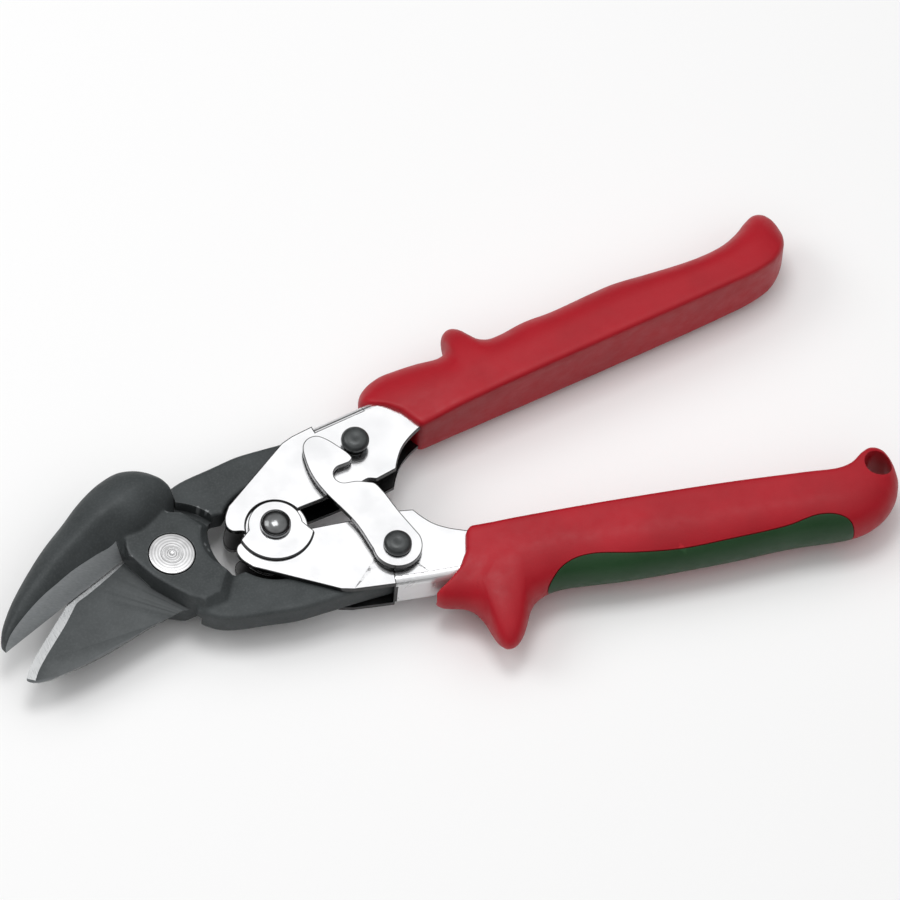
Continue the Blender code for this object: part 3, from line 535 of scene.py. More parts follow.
def turned_steel():
    """Bare steel faced in a lathe: fine rings round the main pivot."""
    f = Finish("turned_steel", 1.0, 0.3)
    wave = f.tree.nodes.new("ShaderNodeTexWave")
    wave.wave_type, wave.rings_direction = "RINGS", "Z"
    wave.inputs["Scale"].default_value = 360.0
    wave.inputs["Distortion"].default_value = 0.4
    wave.inputs["Detail"].default_value = 2.0
    f.link(f.place, wave.inputs["Vector"])
    rings = wave.outputs["Fac"]
    stain = f.noise(260.0, 4.0)
    body = f.ramp(stain, (0.3, (0.47, 0.47, 0.475)), (0.7, (0.58, 0.58, 0.585)))
    f.colour(f.mix(f.span(rings, 0.2, 1.0, 0.0, 0.55), body, (0.22, 0.22, 0.22)))
    f.rough(f.span(stain, 0.3, 0.7, 0.26, 0.38))
    f.bump(rings, 0.006)
    return f.material


def plated_sheet(name, dark, light, polish=0.10, metallic=1.0):
    """Plating over pressed sheet, with faint ripples and rubbed patches."""
    f = Finish(name, metallic, 0.14)
    broad = f.noise(90.0, 4.0)
    fine = f.noise(1.0, 3.0, f.stretched((500.0, 3200.0, 500.0)))
    f.colour(f.ramp(broad, (0.3, (dark, dark * 1.005, dark * 1.02)), (0.7, (light, light, light * 1.01))))
    f.rough(f.span(f.add(broad, fine, 0.5), 0.45, 0.95, polish, polish + 0.12))
    f.bump(f.add(broad, fine, 0.04), 0.02)
    return f.material


def spring_wire_finish():
    f = Finish("drawn_spring_wire", 1.0, 0.32)
    streak = f.noise(600.0, 3.0)
    f.colour(f.ramp(streak, (0.3, (0.26, 0.26, 0.27)), (0.7, (0.42, 0.42, 0.43))))
    f.rough(f.span(streak, 0.3, 0.7, 0.26, 0.4))
    f.bump(streak, 0.004)
    return f.material


def moulded_grip(name, dark, mid, light):
    """Moulded vinyl: satin and finely grained, with a painted highlight that makes it a little brighter along raised
    edges.
    """
    f = Finish(name, 0.0, 0.5, Specular_IOR_Level=0.30)
    broad = f.noise(55.0, 4.0)
    grain = f.noise(2600.0, 2.0)
    body = f.ramp(broad, (0.28, dark), (0.74, mid))
    speckled = f.mix(f.span(grain, 0.5, 0.8, 0.0, 0.18), body, light)
    # Lighter colour along raised edges: painted highlight.
    f.colour(f.mix(f.raised_edge_share(0.52, 0.62), speckled, light))
    f.rough(f.span(f.noise(320.0, 4.0), 0.3, 0.7, 0.40, 0.55))
    f.bump(f.add(grain, f.noise(700.0, 3.0), 0.6), 0.02)
    return f.material


FORGED = black_oxide_forging()
FACET = ground_facet()
LAND_AND_RIM_HIGHLIGHT = ground_land_and_rim_highlight()
LINK_BLACK = blackened_hardware("blackened_rivet", 0.38, (0.050, 0.054, 0.055))
DOME_BLACK = blackened_hardware("polished_black_dome", 0.17, (0.15, 0.154, 0.156), 0.95)
TURNED = turned_steel()
PLATED = plated_sheet("plated_sheet", 0.90, 0.965)
# A duller, greyer copy of the plating for the channels' webs: painted shade on the same sheet as the cheeks.
PAINTED_SHADE_WEB_PLATING = plated_sheet("plated_web_painted_shade", 0.62, 0.76, 0.22, 0.6)
# Near-black finish for the sheet's side walls and for a band along the flat faces' borders: painted shade.
PAINTED_EDGE_SHADE = plated_sheet("painted_edge_shade", 0.035, 0.075, 0.16)
# Near-black finish for the faces inside the channels: painted shade.
PAINTED_INSIDE_SHADE = plated_sheet("painted_inside_shade", 0.045, 0.10, 0.24)
WIRE = spring_wire_finish()
# The third colour of each grip serves for its grain flecks and for its painted edge highlight.
GRIP_RED = moulded_grip("grip_red", (0.33, 0.0035, 0.011), (0.42, 0.005, 0.015), (0.50, 0.014, 0.025))
GRIP_GREEN = moulded_grip("inlay_green", (0.010, 0.042, 0.012), (0.014, 0.055, 0.017), (0.026, 0.080, 0.030))


# ---------------------------------------------------------------- forged blades
def edge_point(u, v, z):
    """A point u along the nose's cutting edge towards the tip and v outward from the main pivot."""
    c, s = math.cos(EDGE_ANGLE), math.sin(EDGE_ANGLE)
    return (-u * c - v * s, -u * s + v * c, z)


def tang_outline():
    """The lower side's tang, bowed round the handle pivot."""
    inner = arc(PIVOT_P, 15.5, -141.5, -73.5, 20)
    tip = arc(RIVET_B, 8.2, 78, -90, 24)
    back = flowing([(54.9, -25.8), (44.9, -25.8), (35.9, -26.0), (28.9, -26.0), (20.9, -24.8), (9.5, -22.8),
                    (5.0, -20.5), (1.6, -16.6), (4.0, -12.5), (10.5, -10.4)], 1.0)
    return outline_of(inner, tip, back)


def mirror_y(points):
    return [(x, -y) for x, y in points]


def boss_rings(side):
    """The boss round the main pivot: steep towards the jaw, sloping down to the tang on the other sides."""
    left = [(7.6, 13.4, 1.6), (3.5, 14.3, 0.9), (-0.5, 14.5, 0.5), (-5.5, 12.0, 0.3), (-11.0, 9.0, 0.3),
            (-11.6, 6.2, 0.3), (-11.6, 3.4, 0.3), (-9.4, -1.0, 0.3), (-7.4, -4.9, 0.3), (-5.0, -8.0, 0.3),
            (-2.8, -10.7, 0.3), (0.0, -14.0, 0.5), (4.4, -18.4, 2.2), (10.6, -18.0, 3.4)]
    pocket = [(x, y, 3.0 if a > 2 else 2.6) for a, (x, y) in enumerate(arc(PIVOT_P, 19.0, 214, 157, 12))]
    points = left + pocket
    low, high = SHEAR_GAP - 1.0, PLATE_TOP
    rings = []
    for height, share in ((low, 0.0), (4.0, 0.0), (high, 1.0)):
        ring = []
        for x, y, inset in points:
            r = math.hypot(x, y)
            k = (r - inset * share) / r
            ring.append((x * k, side * y * k, side * height))
        rings.append(ring)
    return rings


def shear_room(side, low, high):
    """Everything on the other blade's side of the shear plane, but the tang outside the lapped bosses."""
    heel, tail, far, lap = 2.0, 7.4, 80.0, 18.6
    start = math.degrees(math.asin(heel / lap)) - 90.0
    if side > 0:
        points = [(-far, -far), (heel, -far)] + arc(PIVOT_O, lap, start, 48, 40) + [(12.5, far), (-far, far)]
    else:
        end = math.degrees(math.acos(tail / lap))
        points = ([(-far, -far), (12.5, -far)] + arc(PIVOT_O, lap, -48, end, 40)
                  + [(tail, 19.5), (9.0, 32.0), (9.0, far), (-far, far)])
    return plate("shear_room", points, low, high)


# Sections across the nose, from the tip inward.
# Each is the place along the edge, then ridge, shoulder, crown and outer side.
NOSE_SECTIONS = [
    (53.4, (0.5, 1.2), (0.9, 1.6), (1.4, 1.8), (2.2, 1.4)),
    (50.5, (1.1, 3.4), (2.0, 4.4), (2.8, 4.8), (5.0, 2.6)),
    (44.0, (1.9, 5.6), (3.4, 7.2), (5.0, 7.9), (8.6, 4.4)),
    (35.0, (2.9, 7.3), (4.8, 9.8), (6.9, 10.8), (12.0, 6.0)),
    (26.0, (3.4, 8.3), (5.9, 10.9), (8.5, 12.4), (14.7, 7.2)),
    (17.0, (3.4, 7.9), (6.3, 11.1), (9.4, 13.3), (16.6, 8.0)),
    (8.5, (3.2, 7.4), (6.3, 10.9), (9.9, 13.8), (18.6, 8.4)),
    (0.5, (1.8, 9.6), (5.0, 13.0), (10.0, 14.6), (19.3, 8.6)),
    (-5.8, (2.2, 9.4), (5.4, 12.6), (9.8, 14.2), (18.4, 8.4)),
    (-10.2, (2.6, 8.8), (5.2, 11.6), (9.0, 13.0), (15.4, 7.8)),
    (-12.9, (3.2, 8.0), (4.8, 10.2), (7.2, 11.2), (11.4, 6.8)),
    (-13.9, (4.0, 6.6), (4.8, 8.4), (6.2, 8.9), (8.4, 5.6)),
]


def nose_jaw():
    """The raised nose, before its facet is ground."""
    runs = []
    for i in range(4):
        points = [(u, *(EDGE_OFFSET * (k == 0) + c for k, c in enumerate(section[i])))
                  for u, *section in NOSE_SECTIONS]
        runs.append(flowing(points, 1.2))
    low = -0.8
    rings = []
    stations = [s[0] for s in NOSE_SECTIONS]
    along = []
    for a, b in zip(stations, stations[1:]):
        steps = max(1, round((a - b) / 1.1))
        along += [a + (b - a) * i / steps for i in range(steps)]
    along.append(stations[-1])
    for u in along:
        (rv, rz), (tv, tz), (cv, cz), (ov, oz) = (at_station(run, u) for run in runs)
        wall = EDGE_OFFSET - 2.6 + max(0.0, -u - 8.0) * 0.9
        spare = 1.6 * min(1.0, max(0.0, (u - 7.4) / 1.4))
        foot = max(rv - 0.62 * (rz + 0.8), wall) - spare if spare else wall
        rv, rz = rv - spare, rz - spare * min(1.2, (tz - rz) / (tv - rv))
        shoulder = ((cv + ov) / 2 + (ov - cv) / 6, cz * 0.62 + oz * 0.38)
        top = flowing([(foot, low), ((foot + rv) / 2 - 0.15, (low + rz) / 2), (rv, rz), (tv, tz), (cv, cz),
                       shoulder,
                       (ov, oz), (ov, oz * 0.5)], 0.9)
        ring = resample(top, 34) + [(ov - 0.5, low)]
        rings.append([edge_point(u, v, z) for v, z in ring])
    return skin("nose_jaw", rings)


def at_station(run, u):
    """The point of a smooth run at u along the edge."""
    for a, b in zip(run, run[1:]):
        if a[0] >= u >= b[0]:
            f = (a[0] - u) / max(a[0] - b[0], 1e-9)
            return (a[1] + (b[1] - a[1]) * f, a[2] + (b[2] - a[2]) * f)
    return run[-1][1:] if u < run[-1][0] else run[0][1:]


def resample(points, count):
    """The same run as evenly spaced points."""
    pts = [Vector(p) for p in points]
    lengths = [0.0]
    for a, b in zip(pts, pts[1:]):
        lengths.append(lengths[-1] + (b - a).length)
    out, k = [], 0
    for i in range(count):
        want = lengths[-1] * i / (count - 1)
        while k < len(pts) - 2 and lengths[k + 1] < want:
            k += 1
        f = (want - lengths[k]) / max(lengths[k + 1] - lengths[k], 1e-9)
        out.append(tuple(pts[k].lerp(pts[k + 1], min(max(f, 0.0), 1.0))))
    return out


def facet_cutter():
    """A wedge whose sloping side grinds the nose's facet down to the cutting edge."""
    slope, start, end, reach = 0.42, 8.8, 60.0, 12.0
    e = EDGE_OFFSET
    profile = [(e - slope * 1.0, -1.0), (e + slope * 16.0, 16.0), (e - reach, 16.0), (e - reach, -1.0)]
    rings = [[edge_point(u, v, z) for v, z in profile] for u in (end, start)]
    cutter = finish_with(skin("facet_cutter", rings), FACET, FORGED)
    inward = Vector(edge_point(1, 0, 0)) - Vector(edge_point(0, 0, 0))
    for face in cutter.data.polygons:
        face.material_index = 1 if face.normal.dot(inward) < -0.9 else 0
    return cutter


def nose_blade():
    """Upper blade: raised nose jaw, boss above the shear plane and tang to rivet B."""
    blade = nose_jaw()
    blade.name = "nose_blade_forging"
    tang = plate("nose_tang", tang_outline(), -TANG_HALF, TANG_HALF)
    soften(tang, 1.0, 2, 60.0)
    join(blade, skin("nose_boss", boss_rings(1)), tang)
    finish_with(forge(blade), FORGED)
    cut(blade, facet_cutter(), finish_with(shear_room(1, -TANG_HALF - 5, SHEAR_GAP), FORGED),
        finish_with(bore(PIVOT_O, 6.8, PLATE_TOP - 2.2, 25.0), FORGED),
        finish_with(bore(PIVOT_O, 4.3, -2, 9), FORGED),
        finish_with(bore(RIVET_B, 2.8, -6, 6), FORGED))
    return stands_for(shade(lift(blade)), "nose_blade", "forged_steel")


# Sections across the lower jaw, from the tip: x, edge's y, rim's y, share of the full depth.
LOWER_SECTIONS = [
    (-50.4, -20.9, -22.2, 0.16), (-48.6, -18.3, -23.2, 0.30), (-45.0, -14.5, -23.7, 0.48),
                  (-39.4, -9.3, -23.1, 0.70),
    (-33.4, -3.8, -22.2, 0.86), (-30.0, -0.9, -21.6, 0.92), (-26.0, 0.5, -20.7, 0.97),
                  (-19.6, 2.9, -18.9, 1.0),
    (-13.0, 5.7, -16.9, 1.0), (-6.0, 8.6, -15.2, 1.0), (1.0, 10.0, -13.6, 1.0),
]


def lower_jaw():
    run = flowing(LOWER_SECTIONS, 1.0)
    rings = []
    full = PLATE_TOP - SHEAR_GAP
    for x, edge_y, rim_y, share in run:
        top = -SHEAR_GAP + 1.0
        depth = full * share + 1.0
        width = edge_y - rim_y
        keel = flowing([(edge_y, top - 1.0), (edge_y - 0.04 * width, top - 0.55 * depth),
                        (edge_y - 0.22 * width, top - 0.97 * depth), (edge_y - 0.42 * width, top - depth),
                        (rim_y + 0.12 * width, top - 0.40 * depth), (rim_y, top - min(1.7, 0.8 * depth))],
                       0.8)
        ring = [(edge_y, top)] + resample(keel, 20) + [(rim_y, top)]
        rings.append([(x, y, z) for y, z in ring])
    return skin("lower_jaw", rings)


def strip_cutter(path, widths, depth, name, material):
    """A shallow wedge along a path: it takes depth off at the path and nothing at the strip's inner side."""
    rings = []
    for i, (x, y) in enumerate(path):
        share = i / (len(path) - 1)
        inner = widths[0] + (widths[1] - widths[0]) * max(0.0, (share - 0.42) / 0.58)
        before, after = Vector(path[max(i - 1, 0)]), Vector(path[min(i + 1, len(path) - 1)])
        along = (after - before).normalized()
        across = Vector((along.y, -along.x))
        at = Vector((x, y))
        inside, outside = at + across * inner, at - across * 1.5
        slope = depth / inner
        rings.append([(inside.x, inside.y, -SHEAR_GAP),
                      (outside.x, outside.y, -SHEAR_GAP - depth - 1.5 * slope),
                      (outside.x, outside.y, 2.0), (inside.x, inside.y, 2.0)])
    return finish_with(skin(name, rings), material)


def lower_blade():
    """Lower blade: flat-topped jaw with a ground land, boss below the shear plane and tang to rivet A."""
    blade = lower_jaw()
    blade.name = "lower_blade_forging"
    tang = plate("lower_tang", mirror_y(tang_outline()), -TANG_HALF, TANG_HALF)
    soften(tang, 1.0, 2, 60.0)
    join(blade, skin("lower_boss", boss_rings(-1)), tang)
    finish_with(forge(blade), FORGED)
    edge = [(x, y) for x, y, _, _ in flowing(LOWER_SECTIONS, 1.0) if x < -12.0]
    rim = [(x, y) for x, _, y, _ in reversed(flowing(LOWER_SECTIONS, 1.0)) if x < -8.0]
    cut(blade, finish_with(shear_room(-1, -SHEAR_GAP, TANG_HALF + 5), FORGED),
        strip_cutter(edge, (2.7, 0.7), 0.22, "land_cutter", LAND_AND_RIM_HIGHLIGHT),
        # The rim strip takes the ground finish as a painted highlight along the jaw's outer rim.
        strip_cutter(rim, (0.24, 0.12), 0.3, "rim_cutter", LAND_AND_RIM_HIGHLIGHT),
        finish_with(bore(PIVOT_O, 4.3, -9, 2), FORGED), finish_with(bore(RIVET_A, 2.8, -6, 6), FORGED))
    return stands_for(shade(lift(blade)), "lower_blade", "forged_steel")


# ---------------------------------------------------------------- pivot hardware
def pivot_bolt():
    """Main pivot: a flat head faced in the lathe, a shank and its chamfered end."""
    top = PLATE_TOP + CLEAR
    rings = [(3.5, -11.9), (3.7, -11.8), (4.0, -11.4), (4.0, top - 2.2), (6.3, top - 2.2), (6.5, top - 2.0),
             (6.5, top - 0.35), (6.42, top - 0.12), (6.25, top - 0.02), (6.1, top), (3.2, top),
             (3.1, top - 0.06),
             (2.7, top - 0.07), (2.6, top), (1.9, top), (1.8, top - 0.07), (1.35, top - 0.08),
             (1.25, top - 0.01),
             (0.8, top), (0.7, top - 0.1), (0.3, top - 0.16)]
    bolt = finish_with(turned("pivot_bolt_turned", rings, PIVOT_O, 96), TURNED)
    return stands_for(shade(lift(bolt), 25), "pivot_bolt", "turned_steel")


def pivot_washer():
    washer = turned("pivot_washer_disc", [(7.3, -8.3), (7.4, -8.2), (7.4, -7.9), (7.3, -7.8)], PIVOT_O)
    cut(washer, bore(PIVOT_O, 4.3, -9, -7))
    return stands_for(shade(lift(finish_with(washer, LINK_BLACK))), "pivot_washer", "blackened_hardware")


def pivot_nut():
    """Hexagon nut with its corners turned to a cone."""
    nut = turned("pivot_nut_hexagon", [(7.4, -11.6), (7.4, -8.6)], PIVOT_O, 6)
    combine(nut, turned("nut_cone", [(6.35, -11.65), (7.6, -10.9), (7.6, -9.3), (6.9, -8.55)], PIVOT_O),
            "INTERSECT")
    cut(nut, bore(PIVOT_O, 4.3, -13, -7))
    soften(nut, 0.12, 2)
    return stands_for(shade(lift(finish_with(nut, LINK_BLACK))), "pivot_nut", "blackened_hardware")


def rivet_head(radius, height, flat, seat, up=1.0):
    """Rings of a rivet's head from its seat to its crown."""
    rings = [(radius - 0.1, seat), (radius, seat + up * 0.12)]
    for i in range(1, 10):
        a = math.radians(90 * i / 9)
        rings.append((flat + (radius - flat) * math.cos(a),
                      seat + up * (0.45 + (height - 0.45) * math.sin(a))))
    crown = seat + up * height
    if flat > 1.0:
        rings += [(flat * 0.8, crown + up * 0.02), (flat * 0.45, crown - up * 0.06),
                  (flat * 0.15, crown - up * 0.09)]
    else:
        rings += [(flat * 0.4, crown + up * 0.01)]
    return rings


def rivet(name, centre, shank, near, far, finish):
    """A rivet from its far head to its near one."""
    head = list(reversed(rivet_head(*far, up=-1.0)))
    rings = head + [(shank, far[3]), (shank, near[3])] + rivet_head(*near)
    return lift(finish_with(turned(name, rings, centre), finish))


def link_rivets():
    head_seat, far_seat = LATCH_TOP + CLEAR, -CHEEK_OUTER - CLEAR
    for name, centre in (("upper_link_rivet", RIVET_A), ("lower_link_rivet", RIVET_B)):
        piece = rivet(name + "_turned", centre, 2.5, (4.0, 2.2, 1.7, head_seat), (4.0, 2.2, 1.6, far_seat),
                      LINK_BLACK)
        stands_for(shade(piece, 40), name, "blackened_hardware")


def handle_pivot_rivet():
    seat = CHEEK_OUTER + EAR_STEP + CLEAR
    piece = rivet("handle_pivot_rivet_turned", PIVOT_P, 3.0, (4.4, 2.9, 0.3, seat), (4.4, 2.9, 1.6, -seat),
                  DOME_BLACK)
    return stands_for(shade(piece, 50), "handle_pivot_rivet", "blackened_hardware")


def opening_spring():
    """Torsion spring round the sleeve: a close coil with a leg towards each tang."""
    radius, half, wire, splay = 5.35, 2.45, 0.65, 25.0
    start = splay + 90.0
    sweep = 360.0 * 4 - 2.0 * start
    coil = []
    for i in range(121):
        f = i / 120
        a = math.radians(start + sweep * f)
        coil.append(Vector((PIVOT_P[0] + radius * math.cos(a), radius * math.sin(a), half - 2 * half * f)))

    def leg(at, angle, direction):
        a = math.radians(angle)
        along = Vector((-math.sin(a), math.cos(a), 0)) * direction
        return [at + along * length for length in (16.0, 12.0, 8.0, 4.0)]

    route = leg(coil[0], start, -1) + coil + list(reversed(leg(coil[-1], start + sweep, 1)))
    curve = bpy.data.curves.new("opening_spring_coil", "CURVE")
    curve.dimensions = "3D"
    curve.bevel_depth = wire * MM
    curve.bevel_resolution = 4
    curve.use_fill_caps = True
    spline = curve.splines.new("POLY")
    spline.points.add(len(route) - 1)
    for point, p in zip(spline.points, route):
        point.co = (*(p * MM), 1)
    spring = bpy.data.objects.new("opening_spring_coil", curve)
    bpy.context.scene.collection.objects.link(spring)
    take(spring)
    bpy.ops.object.convert(target="MESH")
    spring = bpy.context.object
    bpy.ops.object.mode_set(mode="EDIT")
    bpy.ops.mesh.select_all(action="SELECT")
    bpy.ops.mesh.remove_doubles(threshold=1e-6)
    bpy.ops.object.mode_set(mode="OBJECT")
    return stands_for(shade(lift(finish_with(spring, WIRE)), 50), "opening_spring", "spring_wire")


# ---------------------------------------------------------------- handle channels
def along_handle(side, points):
    """Points (along, outward) of a handle, brought to the XY plane. side is +1 for the upper handle."""
    c, s = math.cos(HANDLE_TILT), math.sin(HANDLE_TILT)
    return [(PIVOT_P[0] + a * c - t * s, side * (a * s + t * c)) for a, t in points]


def cheek_outline(web_start):
    front = flowing([(9.2, 2.3), (0.0, 2.1), (-7.6, 1.9), (-9.1, 2.9), (-11.6, 4.2), (-12.3, 6.2),
                     (-11.3, 8.9), (-8.7, 11.7)],
                    0.5)
    outer = [(14.4, 22.9), (18.0, 23.6), (web_start + 1.0, 23.9), (40.0, 24.0), (52.0, 23.6), (133.0, 21.0),
             (163.0, 19.5)]
    neck = flowing([(60.0, 12.6), (52.6, 10.3), (47.6, 8.5), (43.9, 6.4), (40.9, 3.4), (39.2, 1.2)], 0.6)
    lobe = flowing([(32.8, 0.7), (30.6, 1.9), (28.2, 1.7), (18.0, 1.9), (9.2, 2.3)], 0.7)
    return outline_of(front, outer, [(163.0, 12.6)], neck, lobe)


def ear_outline(side, radius):
    if side > 0:
        return arc(PIVOT_P, radius, 0, 355, 71)
    return arc(PIVOT_P, radius, -172, -28, 40) + arc(PIVOT_P, 7.7, -10, 174, 44)


def handle_channel(side, node, ear_low, ear_radius, web_start):
    """A channel folded from sheet, its ears set in or out by the sheet's thickness at the handle pivot."""
    name = node.replace("_handle_channel", "_handle_pressing")
    channel = plate(name, along_handle(side, cheek_outline(web_start)), -CHEEK_OUTER, CHEEK_OUTER)
    inside = [(-60.0, 60.0), (web_start, 60.0), (web_start, 22.5), (40.0, 22.5), (52.0, 22.1), (133.0, 19.5),
              (164.0, 17.9), (164.0, -20.0), (-60.0, -20.0)]
    cut(channel, plate("channel_inside", along_handle(side, inside), -CHEEK_INNER, CHEEK_INNER),
        bore(PIVOT_P, ear_radius - 0.8, -CHEEK_OUTER - 1, CHEEK_OUTER + 1, 96),
        *fold_cutters(side, web_start))
    for half in (1, -1):
        low, high = sorted((half * ear_low, half * (ear_low + SHEET)))
        join(channel, plate("ear", ear_outline(side, ear_radius), low, high))
    link = RIVET_A if side > 0 else RIVET_B
    cut(channel, bore(PIVOT_P, 3.3, -12, 12), bore(link, 2.8, -12, 12))
    soften(channel, 0.3, 1)
    finish_with(channel, PLATED, PAINTED_EDGE_SHADE, PAINTED_INSIDE_SHADE, PAINTED_SHADE_WEB_PLATING)
    c, s = math.cos(HANDLE_TILT), math.sin(HANDLE_TILT)
    # Inside faces take the painted inside shade. Side walls take the painted dark edge shade, and so does a band along
    # the flat faces' borders. The web's walls take the shaded copy of the plating, which is painted shade too.
    for face in channel.data.polygons:
        x, y, z = face.center / MM
        a, t = (x - PIVOT_P[0]) * c + side * y * s, side * y * c - (x - PIVOT_P[0]) * s
        on_web = a > web_start + 0.6 and t > 18.0
        outer_side = t > 18.0 and side * face.normal.y * c - face.normal.x * s > 0.5
        inside = abs(z) < CHEEK_INNER + 0.05 and (a > 12.0 or face.normal.z * z < 0.0) and not outer_side
        flat = abs(face.normal.z) > 0.93
        if inside and not (flat and face.normal.z * z > 0.0):
            face.material_index = 2
        elif flat:
            face.material_index = 0
        else:
            face.material_index = 3 if on_web else 1
    edge_band(channel, 0.22, 1)
    return stands_for(shade(lift(channel), 30), node, "handle_sheet")


def fold_cutters(side, web_start):
    """What rounds the two folds between the cheeks and the web."""
    fold_radius = 2.6
    stations = [(web_start + 0.4, 24.0), (40.0, 24.0), (52.0, 23.6), (133.0, 21.0), (164.0, 19.45)]
    cutters = []
    for half in (1, -1):
        rings = []
        for a, edge in stations:
            fold = arc((edge - fold_radius, CHEEK_OUTER - fold_radius), fold_radius + 0.02, 92, -2, 10)
            profile = [(edge - fold_radius - 0.1, CHEEK_OUTER + 1.0)] + fold
            profile += [(edge + 1.0, CHEEK_OUTER - fold_radius - 0.1), (edge + 1.0, CHEEK_OUTER + 1.0)]
            rings.append([(*along_handle(side, [(a, t)])[0], half * z) for t, z in profile])
        cutters.append(skin("fold_cutter", rings))
    return cutters


# ---------------------------------------------------------------- latch
def latch():
    """Locking hook on rivet B."""
    hook = flowing([(-7.0, 1.0), (-8.8, 10.3), (-13.7, 22.6), (-15.2, 28.6), (-15.3, 34.0), (-14.5, 38.2),
                    (-12.6, 40.0),
                    (-9.9, 40.2), (-7.7, 38.6), (-4.9, 34.9), (-2.9, 31.5), (-2.7, 30.2), (-3.9, 29.3)], 0.5)
    notch = arc((-6.6, 26.2), 2.9, 88, 262, 20)
    back = flowing([(-7.0, 23.3), (-4.0, 22.9), (-1.0, 21.6), (0.6, 20.7), (2.1, 17.2), (3.9, 10.4),
                    (6.93, 1.0)], 0.6)
    end = arc((0, 0), 7.0, 8, -188, 40)
    points = [(x + RIVET_B[0], y + RIVET_B[1]) for x, y in outline_of(hook, notch, back, end)]
    hooked = plate("latch_hook_pressing", points, LATCH_BOTTOM, LATCH_TOP)
    cut(hooked, bore(RIVET_B, 2.8, 5, 12))
    soften(hooked, 0.3, 1)
    finish_with(hooked, PLATED, PAINTED_EDGE_SHADE)
    # Side walls and a band along the flat faces' borders take the dark edge finish: painted shade.
    for face in hooked.data.polygons:
        face.material_index = 0 if abs(face.normal.z) > 0.93 else 1
    edge_band(hooked, 0.22, 1)
    return stands_for(shade(lift(hooked), 30), "latch", "handle_sheet")


def latch_washer():
    washer = turned("latch_washer_disc", [(5.1, 6.3), (5.2, 6.4), (5.2, 6.8), (5.1, 6.9)], RIVET_B)
    cut(washer, bore(RIVET_B, 2.8, 5, 8))
    return stands_for(shade(lift(finish_with(washer, TURNED))), "latch_washer", "turned_steel")


# ---------------------------------------------------------------- grips
def height_at(curve, s):
    """Value of a run of (place, value) points at s."""
    if s <= curve[0][0]:
        return curve[0][1]
    for (a, va), (b, vb) in zip(curve, curve[1:]):
        if a <= s <= b:
            return va + (vb - va) * (s - a) / max(b - a, 1e-9)
    return curve[-1][1]


def grip_section(inner, back, half, ridge):
    """Half of a D across the grip: flat inner face, small ridge, flat side and a full round back."""
    ridge = min(ridge, 0.3 * (back - inner), 0.45 * half)
    flat_end = min(17.6, inner + 0.45 * (back - inner))
    flat_end = max(flat_end, inner + ridge + 0.01)
    points = [(inner, half * f * (1 - ridge / half)) for f in (0.0, 0.25, 0.5, 0.75)]
    for i in range(5):
        a = math.radians(90 * i / 4)
        points.append((inner + ridge * (1 - math.cos(a)), half - ridge * (1 - math.sin(a))))
    for i in range(1, 6):
        points.append((inner + ridge + (flat_end - inner - ridge) * i / 6, half))
    for i in range(17):
        a = math.radians(90 * (1 - i / 16))
        points.append((flat_end + (back - flat_end) * math.cos(a), half * math.sin(a)))
    return points


def grip_skin(name, side, back, inner, half, front, front_round=1.6):
    """A grip lofted along its handle, its front end swept to the front curve."""
    back = flowing(back, 0.8)
    inner = flowing(inner, 0.8)
    half = flowing(half, 2.0)
    start, end = back[0][0], back[-1][0]
    rings = []
    for s, t in back:
        if s > end - 0.05:
            continue
        from_front = s - start
        inset = 0.0
        if from_front < front_round:
            inset = front_round * (1 - math.sqrt(max(0.0, 1 - (1 - from_front / front_round) ** 2)))
        low = height_at(inner, s) + inset
        thick = height_at(half, s) - inset
        weight = max(0.0, 1.0 - from_front / 28.0)
        weight = weight * weight * (3 - 2 * weight)
        section = grip_section(low, max(t - 0.3 * inset, low + 0.3), max(thick, 0.2), 1.5)
        whole = section + [(a, -z) for a, z in reversed(section[1:-1])]
        ring = []
        for a, z in whole:
            x, y = along_handle(side, [(s + weight * height_at(front, a), a)])[0]
            ring.append((x, y, z))
        rings.append(ring)
    return skin(name, rings, ruled_front=True)


def upper_grip():
    back = [(40.7, 25.4), (41.1, 26.8), (42.6, 28.8), (45.6, 30.6), (50.0, 31.7), (54.5, 31.5), (61.0, 30.7),
            (67.5, 29.4),
            (69.8, 29.9), (70.9, 31.8), (71.8, 34.4), (73.2, 36.0), (75.2, 36.6), (77.0, 35.6), (78.4, 33.2),
            (80.0, 30.4),
            (82.7, 28.5), (86.6, 28.1), (94.7, 28.7), (103.0, 28.1), (116.7, 28.3), (123.0, 28.2),
            (132.4, 26.7),
            (144.7, 25.0), (152.4, 24.7), (158.0, 25.4), (163.0, 27.2), (166.8, 29.3), (170.2, 30.5),
            (172.6, 29.8),
            (174.2, 27.4), (174.7, 24.8), (174.8, 23.6)]
    inner = [(40.0, 9.4), (68.0, 9.9), (111.0, 9.9), (148.0, 9.9), (161.0, 10.4), (167.0, 11.9),
             (171.2, 14.9),
             (173.7, 18.6), (174.8, 23.5)]
    half = [(40.0, 7.9), (55.0, 8.6), (75.0, 9.4), (95.0, 9.8), (140.0, 9.8), (158.0, 9.4), (167.0, 8.4),
            (171.5, 6.6),
            (173.9, 4.0), (174.8, 0.8)]
    front = [(8.6, 51.9), (12.0, 50.7), (16.3, 49.0), (20.1, 46.0), (23.0, 42.2), (25.4, 40.7)]
    grip = grip_skin("upper_grip_moulding", 1, back, inner, half, reversed_front(front))
    return stands_for(shade(lift(finish_with(grip, GRIP_RED)), 40), "upper_grip", "grip_red")


def reversed_front(front):
    """The front curve as (outward, along) with the outer end's place as its zero."""
    zero = front[-1][1]
    return [(front[0][0] - 20, 0.0 + front[0][1] - zero)] + [(t, s - zero) for t, s in front] + [(200.0, 0.0)]


